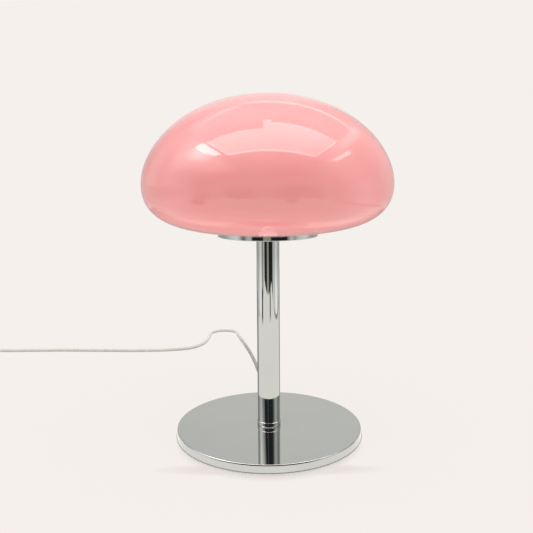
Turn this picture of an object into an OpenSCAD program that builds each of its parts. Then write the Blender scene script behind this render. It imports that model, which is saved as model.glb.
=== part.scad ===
// Table lamp with a cloud-shaped opal glass shade on a chromed stem and base.
// Millimetres. The lamp stands on z = 0 with its stem on the z axis. The front is -y,
// and the cord leaves the rear rim of the base towards +y.

/* [Base] */
// Diameter of the base
base_d = 194; // [170:1:210]
// Height of the base above the table
base_h = 8.8; // [8.6:0.1:12]
// Wall of the pressed base cover
cover_t = 1.2; // [0.8:0.1:1.4]
// Rounding of the cover's top edge
cover_round = 1.8; // [1:0.1:2.2]
// Height of the cover's lower edge above the table
cover_lift = 0.8; // [0.5:0.1:1.2]
// Thickness of the foam pad under the base
pad_t = 1.5; // [1.2:0.1:1.8]
// Distance of the pad's edge from the outer edge of the base
pad_inset = 3; // [2:0.5:8]
// Diameter of the well for the nut in the weight
well_d = 32; // [28:1:44]

/* [Stem] */
// Diameter of the stem tube
stem_d = 23.5; // [20:0.5:30]
// Wall of the stem tube
stem_t = 1; // [0.8:0.1:2]
// Height of the shade plate's underside above the base
stem_len = 201.2; // [150:0.1:260]
// Height of the ring at the foot of the stem
collar_h = 5; // [3:0.5:12]
// Wall of that ring round the tube
collar_t = 0.45; // [0.3:0.05:2]
// Floor of that ring under the tube
collar_floor = 1; // [0.8:0.1:2]
// Diameter of the threaded rod
rod_d = 10; // [8:0.5:12]
// Bore of the threaded rod
rod_bore = 7; // [6:0.1:7.4]
// Height of the bush at the top of the tube
bush_h = 8; // [4:0.5:20]

/* [Fasteners] */
// Width across flats of the rod's nuts
nut_af = 14; // [13:0.5:17]
// Height of the nut under the base cover
base_nut_h = 2.4; // [2:0.1:2.6]
// Height of the nut on the shade plate
plate_nut_h = 3; // [2:0.1:5]
// Thickness of both washers
washer_t = 0.8; // [0.6:0.1:1]
// Diameter of both washers
washer_d = 24; // [20:1:27]

/* [Shade plate] */
// Diameter of the plate
plate_d = 101.7; // [96:0.1:120]
// Height of the plate's rim
plate_h = 4.5; // [3.5:0.1:6]
// Thickness of the plate's web
plate_t = 1.6; // [1:0.1:2]
// Chamfer of the rim's edges
plate_bevel = 0.5; // [0.2:0.1:1]

/* [Glass shade] */
// Diameter of the shade
shade_d = 250; // [220:1:300]
// Height of the shade from its underside to its crown
shade_h = 135.2; // [128:0.1:160]
// Height of the widest place above the underside
shade_belly = 47.2; // [40:0.1:60]
// Wall of the blown glass
shade_t = 3.2; // [2:0.1:4.5]
// Outer diameter of the lip that stands in the plate
lip_d = 88; // [80:1:90]
// Radius of the flat land round the lip
land_r = 50; // [47:0.5:52]
// Length of the flat start of the underside's curve
foot_pull = 61; // [50:1:66]
// Rise of that start over its length
foot_rise = 3.7; // [1:0.1:6]
// Upright pull of the curve below the widest place
belly_pull = 22.9; // [16:0.1:28]
// Upright pull of the curve above the widest place
flank_pull = 37.8; // [28:0.1:46]
// Level pull of the curve at the crown
crown_pull = 80; // [60:1:95]
// Thickness of the soft seat under the lip
seat_t = 0.6; // [0.4:0.1:1.2]

/* [Lampholder] */
// Diameter of the lampholder's cap
holder_d = 28; // [26:0.5:34]
// Height of that cap
holder_cap_h = 20; // [17:0.5:24]
// Height of the skirt above the cap
skirt_h = 26; // [23:0.5:27]
// Wall of cap and skirt
holder_t = 1.8; // [1.2:0.1:2]
// Height of the ceramic core
core_h = 14; // [12:0.5:16]
// Length of the screw sleeve
sleeve_h = 17; // [12:0.5:18]

/* [Bulb] */
// Diameter of the bulb's globe
globe_d = 45; // [40:1:52]
// Length of the bulb from its contact to its top
bulb_len = 78; // [74:1:86]
// Outer diameter of the small screw cap
screw_d = 13.9; // [13.5:0.1:14.2]
// Length of the screw cap
screw_h = 18; // [16:0.5:20]
// Wall of the globe
globe_t = 1.2; // [0.8:0.1:2]
// Diameter of the housing where the globe sits on it
housing_d = 34.2; // [30:0.1:38]

/* [Cord] */
// Diameter of the cord
cord_d = 4.8; // [4.4:0.1:5.2]
// Length of the tapered sleeve that relieves the cord
relief_len = 22; // [20:1:28]
// Diameter of a single insulated core
core_wire_d = 1.9; // [1.6:0.1:2]
// Distance between neighbouring turns of the coil, centre to centre
coil_pitch = 5.6; // [5.6:0.1:6.5]
// Inner turn of the coil, radius of its centre line
coil_r = 19.4; // [19.2:0.1:24]

/* [Switch] */
// Length of the in-line switch
switch_l = 60; // [56:1:64]
// Width of the switch
switch_w = 25; // [23:0.5:30]
// Height of the switch's two shells
switch_h = 17; // [16:0.5:20]
// Wall of the shells
switch_t = 1.6; // [1.2:0.1:2]
// Length of the rocker
rocker_l = 20.8; // [18:0.2:22]
// Width of the rocker
rocker_w = 11.4; // [10:0.2:13]
// Tilt of the rocker to either side, in degrees
rocker_tilt = 7; // [5:1:9]

/* [Plug] */
// Width of the plug at its face
plug_w = 34; // [30:1:35]
// Thickness of the plug
plug_t = 13.7; // [12:0.1:15]
// Length of the plug's body
plug_l = 36; // [32:1:40]
// Diameter of the pins
pin_d = 4; // [3.8:0.1:4.8]
// Length of the pins in front of the body
pin_l = 19; // [17:0.5:20]
// Distance between the pins
pin_gap = 18.6; // [17.5:0.1:19]
// Length of the bare tip of each pin
bare_l = 9.5; // [8:0.5:10]

/* [Hidden] */

CHROME = [0.78, 0.79, 0.78];
STEEL = [0.62, 0.63, 0.64];
PINK = [0.98, 0.70, 0.69];
WHITE = [0.93, 0.93, 0.91];
BRASS = [0.80, 0.66, 0.36];

// Facets of wide, small and tiny round pieces
round_fn = 48;
small_fn = 24;
tiny_fn = 16;
// Clearance of pieces that fit together, of pieces that stay apart, and overshoot of cuts
fit = 0.05;
gap = 0.3;
cut = 1;

base_r = base_d / 2;
stem_r = stem_d / 2;
rod_r = rod_d / 2;
plate_r = plate_d / 2;
lip_r = lip_d / 2;
shade_r = shade_d / 2;
cord_r = cord_d / 2;

// Heights of the stack, from the table up
rod_proud = 0.2;
nut_clear = 0.5;
cover_under = base_h - cover_t;
rod_foot = cover_under - washer_t - base_nut_h - rod_proud;
plate_z = base_h + stem_len;
web_z = plate_z + plate_t;
lip_z = web_z + seat_t;
under_z = plate_z + plate_h + gap;
crown_z = under_z + shade_h;
belly_z = under_z + shade_belly;
nut_z = web_z + washer_t;
holder_z = nut_z + plate_nut_h + nut_clear;

// Glass shade: two smooth curves that meet upright at the widest place
function mix(a, b, t) = a * (1 - t) + b * t;
function bezier(a, b, c, d, t) =
    mix(mix(mix(a, b, t), mix(b, c, t), t), mix(mix(b, c, t), mix(c, d, t), t), t);
function across(v) = [-v[1], v[0]] / norm(v);
lower_steps = 9;
upper_steps = 12;
function lower_curve(t) = bezier(
    [land_r, under_z], [land_r + foot_pull, under_z + foot_rise],
    [shade_r, belly_z - belly_pull], [shade_r, belly_z], t);
function upper_curve(t) = bezier(
    [shade_r, belly_z], [shade_r, belly_z + flank_pull],
    [crown_pull, crown_z], [0, crown_z], t);
function lower_in(t) =
    lower_curve(t) + shade_t * across(lower_curve(t + 0.001) - lower_curve(t - 0.001));
function upper_in(t) =
    upper_curve(t) + shade_t * across(upper_curve(t + 0.001) - upper_curve(t - 0.001));
shade_outer = concat(
    [for (i = [1:lower_steps]) lower_curve(i / lower_steps)],
    [for (i = [1:upper_steps]) upper_curve(i / upper_steps)]);
shade_inner = concat(
    [for (i = [upper_steps - 1:-1:1]) upper_in(i / upper_steps)],
    [for (i = [lower_steps:-1:1]) lower_in(i / lower_steps)]);

// Lampholder: neck on the rod, tail of the skirt in the cap, core, sleeve and contact
cap_r = holder_d / 2;
cap_top = holder_z + holder_cap_h;
neck_h = 8;
tail_h = 5;
skirt_step = 1;
skirt_in = cap_r - holder_t - skirt_step;
core_z = cap_top - core_h / 2;
sleeve_z = core_z + core_h;
sleeve_t = 0.4;
sleeve_in = screw_d / 2 + gap;
contact_t = 0.8;
contact_h = 2;

// Terminal screws, one to each side of the core
screw_x = 7.5;
screw_r = 1.5;
screw_l = 7.5;
screw_head_r = 2.4;
screw_head_h = 1.8;

// Bulb: contact at its tip, screw cap, neck of the housing inside it, board and globe
tip_z = sleeve_z + contact_h + gap;
tip_h = 1.6;
tip_r = 2.4;
tip_plug = 0.6;
cap_rim_r = 4.6;
cap_wall = 0.35;
neck_in = 8;
neck_r = screw_d / 2 - cap_wall - fit;
board_sink = 3;
housing_lip = 1;
screw_z = tip_z + tip_h;
housing_r = housing_d / 2;
globe_z = tip_z + bulb_len - globe_d / 2;
housing_top = globe_z - sqrt(pow(globe_d / 2, 2) - pow(housing_r, 2));

// Cord: gland in the rear rim, with the cord just above the pad
gland_t = 0.9;
gland_r = cord_r + gland_t;
gland_z = pad_t + cord_r + gap;
gland_in = 5;
gland_flange = 1.5;
tail_in = 16;
relief_y = base_r + gland_flange + relief_len;
jacket_y = base_r - tail_in;
lay_z = cord_r;

// Sides of the cord's tube, and steps between its rings and between those of the cores
cord_sides = 10;
cord_ring = 2.8 * cord_d;
core_sides = 8;
core_ring = 12;

// Switch and plug stand on the table beside the put-away cord
switch_x = -435;
switch_y = 300;
switch_split = switch_h / 2;
switch_mid = switch_x - switch_l / 2;
entry = 8;
pivot_drop = 3.2;
pivot_z = switch_h - pivot_drop;
pivot_r = 1;
cheek_y = rocker_w / 2 + 0.6;
cheek_t = 1.6;
corner_r = 5;

// Screw posts of the switch, in two opposite corners, and the screws in them
post_x = switch_l / 2 - 6;
post_y = switch_w / 2 - 5;
post_r = 3;
tap_r = 1.4;
head_r = 2.4;
head_h = 1.4;
head_sink = 0.8;

// Plug, with the pins' shanks thinner than their bare tips to take the sleeves
pin_root = 8;
pin_r = pin_d / 2;
pin_sleeve_r = pin_r - 0.2;
shank_r = pin_r - 0.5;
plug_x = -520;
plug_y = 130;
plug_z = plug_t / 2;

// Points of the cord's centre line, chosen by hand, from the lamp to the switch
run_points = [
    [0, relief_y, gland_z], [0, relief_y + cord_d, gland_z], [-2, 142, 3], [-6, 162, lay_z],
    [-13, 193, lay_z], [-18, 228, lay_z], [-25, 270, lay_z], [-33, 310, lay_z],
    [-42, 350, lay_z], [-46.5, 370, lay_z], [-49.2, 381, lay_z], [-50.8, 391, lay_z],
    [-52.7, 399.3, lay_z], [-57.5, 406.3, lay_z], [-64.6, 411.3, lay_z],
    [-73, 413, lay_z], [-81.4, 411.3, lay_z], [-88.5, 406.3, lay_z],
    [-93.3, 399.3, lay_z], [-95, 391, lay_z], [-95.2, 381, lay_z], [-96, 367, lay_z],
    [-98, 348, lay_z], [-104, 328, lay_z], [-116, 312, lay_z],
    [-133, 304, lay_z], [-162, 299, lay_z], [-210, 298, lay_z], [-260, 300, lay_z],
    [-310, 302, lay_z], [-355, 302, lay_z], [-390, 301, lay_z], [-408, 300, 3.4],
    [-423, 300, 7], [switch_x, switch_y, switch_split],
    [switch_x - entry, switch_y, switch_split]
];

// From the switch round to the coil
coil_lift = 0.9;
coil_z = cord_r + coil_lift;
coil_turns = 5;
coil_steps = 24;
coil_sides = 6;
layer_h = cord_d + 0.6;
coil_out = coil_r + coil_pitch * coil_turns / 2;
coil_x = plug_x + coil_out;
coil_y = 215;
link_x = switch_x - switch_l;
link_points = [
    [link_x + entry, switch_y, switch_split], [link_x - 3, switch_y, switch_split],
    [-509, 297, 7], [-517, 289, 5.4], [plug_x, 277, 4.3], [plug_x, 262, 3.6],
    [plug_x, 246, coil_z],
    [plug_x, 233, coil_z], [plug_x, coil_y + cord_d, coil_z]
];

// From the top of the coil to the plug
end_points = [
    [plug_x, coil_y - cord_d, coil_z + layer_h],
    [plug_x, coil_y - 2 * cord_d, coil_z + layer_h], [plug_x, 194, 7],
    [plug_x, 182, 4.6], [plug_x, 170, 3.2], [plug_x, 157, 3.4], [plug_x, 145, 5.4],
    [plug_x, plug_y + cord_d, plug_z], [plug_x, plug_y, plug_z]
];

// The single cores turn up into the rod below its foot, and part under the lampholder
core_apart = 0.3;
core_bend = 3;
core_lie = pad_t + core_wire_d / 2 + 0.1;
core_turn = 1;
function core_points(side) =
    let (x = side * (core_wire_d / 2 + core_apart / 2), screw = side * 3.6)
    [
        [x, jacket_y, gland_z], [x, jacket_y - 12, gland_z], [x, 50, core_lie + 0.4],
        [x, 30, core_lie], [x, 14, core_lie], [x, core_turn + core_bend, core_lie],
        [x, core_turn + 0.3 * core_bend, core_lie + 0.3 * core_bend],
        [x, core_turn, core_lie + core_bend], [x, core_turn, 30], [x, 0, 110],
        [x, 0, holder_z], [x + side * 0.1, 0, holder_z + neck_h],
        [screw - side * 0.4, 0, core_z - 2.5], [screw, 0, core_z - 1], [screw, 0, core_z]
    ];

// Smooth curve through points, a ring about every step millimetres, never under its lowest
function smooth(a, b, c, d, t) = 0.5 * (2 * b + (c - a) * t
    + (2 * a - 5 * b + 4 * c - d) * t * t + (3 * b - a - 3 * c + d) * t * t * t);
function at(p, i) = i < 0 ? 2 * p[0] - p[1]
    : i > len(p) - 1 ? 2 * p[len(p) - 1] - p[len(p) - 2] : p[i];
function route(p, step) =
    let (lowest = min([for (q = p) q[2]]))
    concat([
        for (i = [0:len(p) - 2])
            let (n = max(1, round(norm(p[i + 1] - p[i]) / step)))
            for (k = [0:n - 1])
                let (q = smooth(at(p, i - 1), p[i], p[i + 1], at(p, i + 2), k / n))
                [q[0], q[1], max(q[2], lowest)]
    ], [p[len(p) - 1]]);

// Tube of n sides round a path; flat is a direction that the path never takes
module tube(path, r, n, flat = [0, 0, 1]) {
    last = len(path) - 1;
    rings = [
        for (i = [0:last])
            let (run = path[min(i + 1, last)] - path[max(i - 1, 0)],
                 side = cross(run, flat) / norm(cross(run, flat)),
                 up = cross(side, run) / norm(run))
            for (k = [0:n - 1])
                path[i] + r * (cos(360 * (k + 0.5) / n) * side
                    + sin(360 * (k + 0.5) / n) * up)
    ];
    walls = [
        for (i = [0:last - 1], k = [0:n - 1])
            let (a = i * n + k, b = i * n + (k + 1) % n)
            each [[a, b, b + n], [a, b + n, a + n]]
    ];
    caps = [
        for (k = [1:n - 2])
            each [[0, k + 1, k], [last * n, last * n + k, last * n + k + 1]]
    ];
    polyhedron(rings, concat(walls, caps));
}

// Coil: in along the lower layer, up in the half turn where the spiral turns back, out above
function coil_point(turn) =
    let (off = turn - coil_turns / 2,
         r = coil_r + coil_pitch * abs(off),
         up = min(1, max(0, off * 2 + 0.5)),
         z = coil_z + layer_h * up * up * (3 - 2 * up))
    [coil_x - r * cos(360 * turn), coil_y - r * sin(360 * turn), z];
coil_path = concat(
    [[plug_x, coil_y + cord_d, coil_z]],
    [for (i = [0:coil_turns * coil_steps]) coil_point(i / coil_steps)],
    [[plug_x, coil_y - cord_d, coil_z + layer_h]]);
coil_gap = min([
    for (i = [0:len(coil_path) - 1])
        for (j = [i + coil_steps / 2:1:len(coil_path) - 1])
            norm(coil_path[i] - coil_path[j])
]) - cord_d;
function path_length(p) =
    [for (i = 0, s = 0; i < len(p); i = i + 1,
        s = s + (i < len(p) ? norm(p[i] - p[i - 1]) : 0)) s][len(p) - 1];
echo(coil_gap = coil_gap, coil_length = path_length(coil_path));
echo(run_length = path_length(route(run_points, cord_d)),
     link_length = path_length(route(link_points, cord_d)),
     end_length = path_length(route(end_points, cord_d)));

module ring(outer, inner, h, fn = small_fn) {
    difference() {
        cylinder(r = outer, h = h, $fn = fn);
        translate([0, 0, -cut]) cylinder(r = inner, h = h + 2 * cut, $fn = fn);
    }
}

module lathe(points, fn = small_fn) {
    rotate_extrude($fn = fn) polygon(points);
}

module along_y(x, y, z) {
    translate([x, y, z]) rotate([-90, 0, 0]) children();
}

// Plate with rounded corners, centred in x and y
module slab(l, w, h, r) {
    translate([-l / 2 + r, -w / 2, 0]) cube([l - 2 * r, w, h]);
    translate([-l / 2, -w / 2 + r, 0]) cube([l, w - 2 * r, h]);
    for (x = [-1, 1], y = [-1, 1])
        translate([x * (l / 2 - r), y * (w / 2 - r), 0]) cylinder(r = r, h = h, $fn = tiny_fn);
}

module base_pad() {
    notch_y = base_r - gland_in - gap;
    color([0.2, 0.2, 0.2]) difference() {
        cylinder(r = base_r - pad_inset, h = pad_t, $fn = round_fn);
        translate([-gland_r - gap, notch_y, -cut])
            cube([2 * (gland_r + gap), base_r, pad_t + 2 * cut]);
    }
}

module base_weight() {
    weight_h = cover_under - pad_t;
    through = weight_h + 2 * cut;
    channel_w = cord_d + 2;
    pocket_w = 2 * (gland_r + 2 * gap);
    color(STEEL) translate([0, 0, pad_t]) difference() {
        cylinder(r = base_r - cover_t - gap, h = weight_h, $fn = round_fn);
        translate([0, 0, -cut]) cylinder(r = well_d / 2, h = through, $fn = small_fn);
        translate([-channel_w / 2, 0, -cut]) cube([channel_w, base_r, through]);
        translate([-pocket_w / 2, base_r - gland_in - cover_t, -cut])
            cube([pocket_w, gland_in + cover_t, through]);
    }
}

module base_cover() {
    r = cover_round;
    color(CHROME) difference() {
        lathe(concat(
            [[0, base_h]],
            [for (a = [90:-22.5:0]) [base_r - r + r * cos(a), base_h - r + r * sin(a)]],
            [[base_r, cover_lift], [base_r - cover_t, cover_lift],
             [base_r - cover_t, cover_under], [0, cover_under]]), round_fn);
        translate([0, 0, cover_under - cut])
            cylinder(r = rod_r + fit, h = cover_t + 2 * cut, $fn = small_fn);
        along_y(0, base_r - 2 * cover_t, gland_z)
            cylinder(r = gland_r + fit, h = 4 * cover_t, $fn = small_fn);
        translate([-gland_r - fit, base_r - 2 * cover_t, 0])
            cube([2 * (gland_r + fit), 4 * cover_t, gland_z]);
    }
}

module base_washer() {
    color(STEEL) translate([0, 0, cover_under - washer_t]) ring(washer_d / 2, rod_r + fit, washer_t);
}

module hex_nut(h) {
    color(BRASS) difference() {
        cylinder(r = nut_af / 2 / cos(30), h = h, $fn = 6);
        translate([0, 0, -cut]) cylinder(r = rod_r + fit, h = h + 2 * cut, $fn = small_fn);
    }
}

module base_nut() {
    translate([0, 0, cover_under - washer_t - base_nut_h]) hex_nut(base_nut_h);
}

module threaded_rod() {
    rod_top = holder_z + neck_h - 0.5;
    color(STEEL) translate([0, 0, rod_foot]) ring(rod_r, rod_bore / 2, rod_top - rod_foot);
}

module stem_collar() {
    inside = stem_r + fit;
    outside = inside + collar_t;
    edge = collar_t / 2;
    color(CHROME) translate([0, 0, base_h]) lathe([
        [rod_r + fit, 0], [outside, 0], [outside, collar_h - edge],
        [outside - edge, collar_h], [inside, collar_h], [inside, collar_floor],
        [rod_r + fit, collar_floor]
    ], round_fn);
}

module stem_tube() {
    color(CHROME) translate([0, 0, base_h + collar_floor])
        ring(stem_r, stem_r - stem_t, stem_len - collar_floor, round_fn);
}

module tube_bush() {
    color(BRASS) translate([0, 0, plate_z - bush_h])
        ring(stem_r - stem_t - fit, rod_r + fit, bush_h);
}

module shade_plate() {
    rim_in = lip_r + 0.4;
    color(CHROME) translate([0, 0, plate_z]) lathe([
        [rod_r + fit, 0], [plate_r - plate_bevel, 0], [plate_r, plate_bevel],
        [plate_r, plate_h - plate_bevel], [plate_r - plate_bevel, plate_h],
        [rim_in, plate_h], [rim_in, plate_t], [rod_r + fit, plate_t]
    ], round_fn);
}

module plate_washer() {
    color(STEEL) translate([0, 0, web_z]) ring(washer_d / 2, rod_r + fit, washer_t);
}

module plate_nut() {
    translate([0, 0, nut_z]) hex_nut(plate_nut_h);
}

module glass_seat() {
    seat_w = shade_t + 1;
    color(WHITE) translate([0, 0, web_z]) ring(lip_r, lip_r - seat_w, seat_t, round_fn);
}

module shade_glass() {
    lip_in = lip_r - shade_t;
    color(PINK) lathe(concat(
        [[lip_in, lip_z], [lip_r, lip_z], [lip_r, under_z], [land_r, under_z]],
        shade_outer, [[0, crown_z - shade_t]], shade_inner,
        [[land_r, under_z + shade_t], [lip_in, under_z + shade_t]]), round_fn);
}

module holder_cap() {
    r = cap_r;
    slope = 4;
    floor_t = holder_t + 0.6;
    neck_out = rod_r + 2;
    color(WHITE) translate([0, 0, holder_z]) lathe([
        [rod_r + fit, 0], [r - slope, 0], [r, slope], [r, holder_cap_h],
        [r - holder_t, holder_cap_h], [r - holder_t, slope + 0.6],
        [r - slope - 0.6, floor_t], [neck_out, floor_t], [neck_out, neck_h],
        [rod_r + fit, neck_h]
    ]);
}

module holder_skirt() {
    tail_r = cap_r - holder_t - fit;
    chamfer = 1;
    color(WHITE) translate([0, 0, cap_top]) lathe([
        [skirt_in, -tail_h], [tail_r, -tail_h], [tail_r, 0], [cap_r, 0],
        [cap_r, skirt_h - chamfer], [cap_r - chamfer, skirt_h], [skirt_in, skirt_h]
    ]);
}

module holder_core() {
    color([0.95, 0.94, 0.9]) translate([0, 0, core_z]) difference() {
        cylinder(r = skirt_in - fit, h = core_h, $fn = small_fn);
        for (side = [-1, 1])
            translate([side * screw_x, 0, -cut])
                cylinder(r = screw_r + fit, h = cut + screw_l + gap, $fn = tiny_fn);
    }
}

module holder_sleeve() {
    color(BRASS) translate([0, 0, sleeve_z]) ring(sleeve_in + sleeve_t, sleeve_in, sleeve_h);
}

module holder_contact() {
    strip_l = 10;
    strip_w = 4;
    color(BRASS) translate([0, 0, sleeve_z]) {
        translate([-strip_l / 2, -strip_w / 2, 0]) cube([strip_l, strip_w, contact_t]);
        translate([0, 0, contact_t])
            cylinder(r = 0.45 * strip_w, h = contact_h - contact_t, $fn = tiny_fn);
    }
}

module terminal_screws() {
    color(BRASS) for (side = [-1, 1]) translate([side * screw_x, 0, core_z]) {
        translate([0, 0, -screw_head_h])
            cylinder(r = screw_head_r, h = screw_head_h, $fn = tiny_fn);
        cylinder(r = screw_r, h = screw_l, $fn = tiny_fn);
    }
}

module bulb_globe() {
    r = globe_d / 2;
    steps = 8;
    inner = r - globe_t;
    floor_a = asin((housing_top - globe_z) / r);
    inner_a = asin((housing_top - globe_z) / inner);
    color(WHITE) translate([0, 0, globe_z]) lathe(concat(
        [for (i = [0:steps]) let (a = mix(floor_a, 90, i / steps)) [r * cos(a), r * sin(a)]],
        [for (i = [steps:-1:0])
            let (a = mix(inner_a, 90, i / steps)) [inner * cos(a), inner * sin(a)]]));
}

module bulb_housing() {
    screw_top = screw_z + screw_h;
    collar_r = screw_d / 2 + 1;
    flare_h = 8;
    seat_r = housing_r - globe_t - housing_lip;
    color(WHITE) lathe([
        [0, screw_top - neck_in], [neck_r, screw_top - neck_in], [neck_r, screw_top],
        [collar_r, screw_top], [housing_r - 1, housing_top - flare_h],
        [housing_r, housing_top], [seat_r, housing_top],
        [seat_r, housing_top - board_sink], [0, housing_top - board_sink]
    ]);
}

module bulb_board() {
    board_t = 1.4;
    color(WHITE) translate([0, 0, housing_top - board_sink])
        cylinder(r = housing_r - globe_t - housing_lip - gap, h = board_t, $fn = small_fn);
}

module bulb_cap() {
    r = screw_d / 2;
    rim_w = 0.6;
    shoulder_h = 2.4;
    color(STEEL) translate([0, 0, screw_z]) lathe([
        [cap_rim_r, 0], [cap_rim_r + rim_w, 0], [r, shoulder_h], [r, screw_h],
        [r - cap_wall, screw_h], [r - cap_wall, shoulder_h + 0.2], [cap_rim_r, rim_w]
    ]);
}

module bulb_insulator() {
    bead_h = 1.4;
    color([0.1, 0.1, 0.12]) translate([0, 0, screw_z - tip_plug])
        ring(cap_rim_r - 2 * fit, tip_r + fit, bead_h, tiny_fn);
}

module bulb_contact() {
    r = tip_r;
    top = tip_h + tip_plug;
    color(STEEL) translate([0, 0, tip_z]) lathe([
        [0, 0], [r - 1, 0], [r - 0.2, 0.5], [r, 1], [r, top], [0, top]
    ], tiny_fn);
}

module cord_gland() {
    r = gland_r;
    flange_r = r + 0.4;
    taper_r = r - 0.2;
    tip_wall = 0.35;
    taper_at = gland_in + gland_flange;
    end_at = taper_at + relief_len;
    color(WHITE) along_y(0, base_r - gland_in, gland_z) lathe([
        [cord_r + fit, 0], [r, 0], [r, gland_in], [flange_r, gland_in],
        [flange_r, taper_at], [taper_r, taper_at], [cord_r + tip_wall, end_at],
        [cord_r + fit, end_at]
    ]);
}

module cord_tail() {
    color(WHITE) along_y(0, jacket_y, gland_z)
        cylinder(r = cord_r, h = relief_y - jacket_y, $fn = tiny_fn);
}

module core_wire(side) {
    tube(route(core_points(side), core_ring), core_wire_d / 2, core_sides, [1, 0, 0]);
}

module live_core() {
    color([0.45, 0.26, 0.15]) core_wire(1);
}

module neutral_core() {
    color([0.15, 0.3, 0.6]) core_wire(-1);
}

module cord_run() {
    color(WHITE) tube(route(run_points, cord_ring), cord_r, cord_sides);
}

module cord_link() {
    color(WHITE) tube(route(link_points, cord_ring), cord_r, cord_sides);
}

module cord_end() {
    color(WHITE) tube(route(end_points, cord_ring), cord_r, cord_sides);
}

module cord_coil() {
    color(WHITE) tube(coil_path, cord_r, coil_sides);
}

// Strap round the coil's turns at the side away from the start
module coil_tie() {
    strap_t = 0.7;
    strap_w = 8;
    inside = coil_r - cord_r - gap;
    outside = coil_out - coil_pitch / 2 + cord_r + gap;
    opening_h = coil_z + layer_h + cord_r + gap - strap_t;
    color([0.85, 0.85, 0.84]) translate([coil_x, coil_y + strap_w / 2, 0]) rotate([90, 0, 0])
        linear_extrude(strap_w) difference() {
            translate([inside - strap_t, 0])
                square([outside - inside + 2 * strap_t, opening_h + 2 * strap_t]);
            translate([inside, strap_t]) square([outside - inside, opening_h]);
        }
}

module at_switch(z) {
    translate([switch_mid, switch_y, z]) children();
}

module cord_bores() {
    for (side = [-1, 1])
        translate([side * (switch_l / 2 - entry / 2), 0, 0]) rotate([0, 90, 0])
            cylinder(r = cord_r + 3 * fit, h = entry + 2 * cut, center = true, $fn = tiny_fn);
}

module posts(h, r) {
    for (side = [-1, 1])
        translate([side * post_x, side * post_y, 0]) cylinder(r = r, h = h, $fn = tiny_fn);
}

// Room inside both shells
module switch_room(h) {
    slab(switch_l - 2 * switch_t, switch_w - 2 * switch_t, h, corner_r - switch_t);
}

module switch_base() {
    color(WHITE) at_switch(0) difference() {
        union() {
            difference() {
                slab(switch_l, switch_w, switch_split, corner_r);
                translate([0, 0, switch_t]) switch_room(switch_split);
            }
            posts(switch_split, post_r);
        }
        translate([0, 0, switch_split]) cord_bores();
        translate([0, 0, -cut]) posts(switch_h, tap_r + fit);
        translate([0, 0, -cut]) posts(cut + head_sink + head_h, head_r + fit);
    }
}

module switch_cover() {
    upper_h = switch_h - switch_split;
    cheek_l = 8;
    cheek_z = pivot_z - 3;
    window_l = rocker_l + 2;
    window_w = rocker_w + 2 * gap;
    bearing_l = 2 * (cheek_y + cheek_t) + cut;
    color(WHITE) at_switch(0) difference() {
        union() {
            translate([0, 0, switch_split]) difference() {
                slab(switch_l, switch_w, upper_h, corner_r);
                translate([0, 0, -switch_t]) switch_room(upper_h);
            }
            translate([0, 0, switch_split]) posts(upper_h - cut, post_r);
            for (side = [-1, 1])
                translate([-cheek_l / 2, side * (cheek_y + cheek_t / 2) - cheek_t / 2, cheek_z])
                    cube([cheek_l, cheek_t, switch_h - switch_t / 2 - cheek_z]);
        }
        translate([-window_l / 2, -window_w / 2, pivot_z - 2]) cube([window_l, window_w, switch_h]);
        translate([0, 0, switch_split]) cord_bores();
        translate([0, 0, switch_split - cut]) posts(upper_h - 3, tap_r);
        along_y(0, -bearing_l / 2, pivot_z)
            cylinder(r = pivot_r + fit, h = bearing_l, $fn = tiny_fn);
    }
}

module switch_rocker() {
    half_l = rocker_l / 2;
    boss_l = 2.6;
    boss_z = -2;
    edge_z = 1.2;
    wing_z = 4.8;
    color([0.9, 0.9, 0.88]) at_switch(pivot_z) rotate([0, rocker_tilt, 0]) difference() {
        translate([0, rocker_w / 2, 0]) rotate([90, 0, 0]) linear_extrude(rocker_w) polygon([
            [-half_l, edge_z], [-boss_l, boss_z], [boss_l, boss_z], [half_l, edge_z],
            [half_l, wing_z], [half_l / 2, wing_z - 0.8], [0, wing_z - 1.1],
            [-half_l / 2, wing_z - 0.8], [-half_l, wing_z]
        ]);
        along_y(0, -rocker_w, 0) cylinder(r = pivot_r + fit, h = 2 * rocker_w, $fn = tiny_fn);
    }
}

module rocker_pin() {
    pin_h = 2 * (cheek_y + cheek_t);
    color(STEEL) at_switch(pivot_z) along_y(0, -pin_h / 2, 0)
        cylinder(r = pivot_r, h = pin_h, $fn = tiny_fn);
}

module switch_contacts() {
    block = [6, 8, 5];
    block_x = 12;
    color(BRASS) at_switch(switch_t) for (side = [-1, 1])
        translate([side * block_x - block[0] / 2, -block[1] / 2, 0]) cube(block);
}

module switch_screws() {
    shank_l = switch_h - 6;
    color(STEEL) at_switch(head_sink) {
        posts(head_h, head_r);
        posts(shank_l, tap_r - fit);
    }
}

module plug_holes(r, depth) {
    for (side = [-1, 1])
        along_y(plug_x + side * pin_gap / 2, plug_y - plug_l - cut, plug_z)
            cylinder(r = r, h = depth + cut, $fn = tiny_fn);
}

module plug_body() {
    face_x = plug_w / 2;
    face_y = -plug_l;
    flank_y = face_y + 5;
    grip_x = face_x - 5;
    neck_x = cord_r + 2.2;
    half = [
        [face_x, face_y], [face_x, flank_y], [grip_x, 0.5 * face_y],
        [mix(neck_x, grip_x, 0.4), 0.2 * face_y], [neck_x, 0]
    ];
    other_half = [for (i = [len(half) - 1:-1:0]) [-half[i][0], half[i][1]]];
    color(WHITE) difference() {
        translate([plug_x, plug_y, 0]) linear_extrude(plug_t) polygon(concat(half, other_half));
        plug_holes(pin_sleeve_r + fit, pin_root);
    }
}

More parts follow.
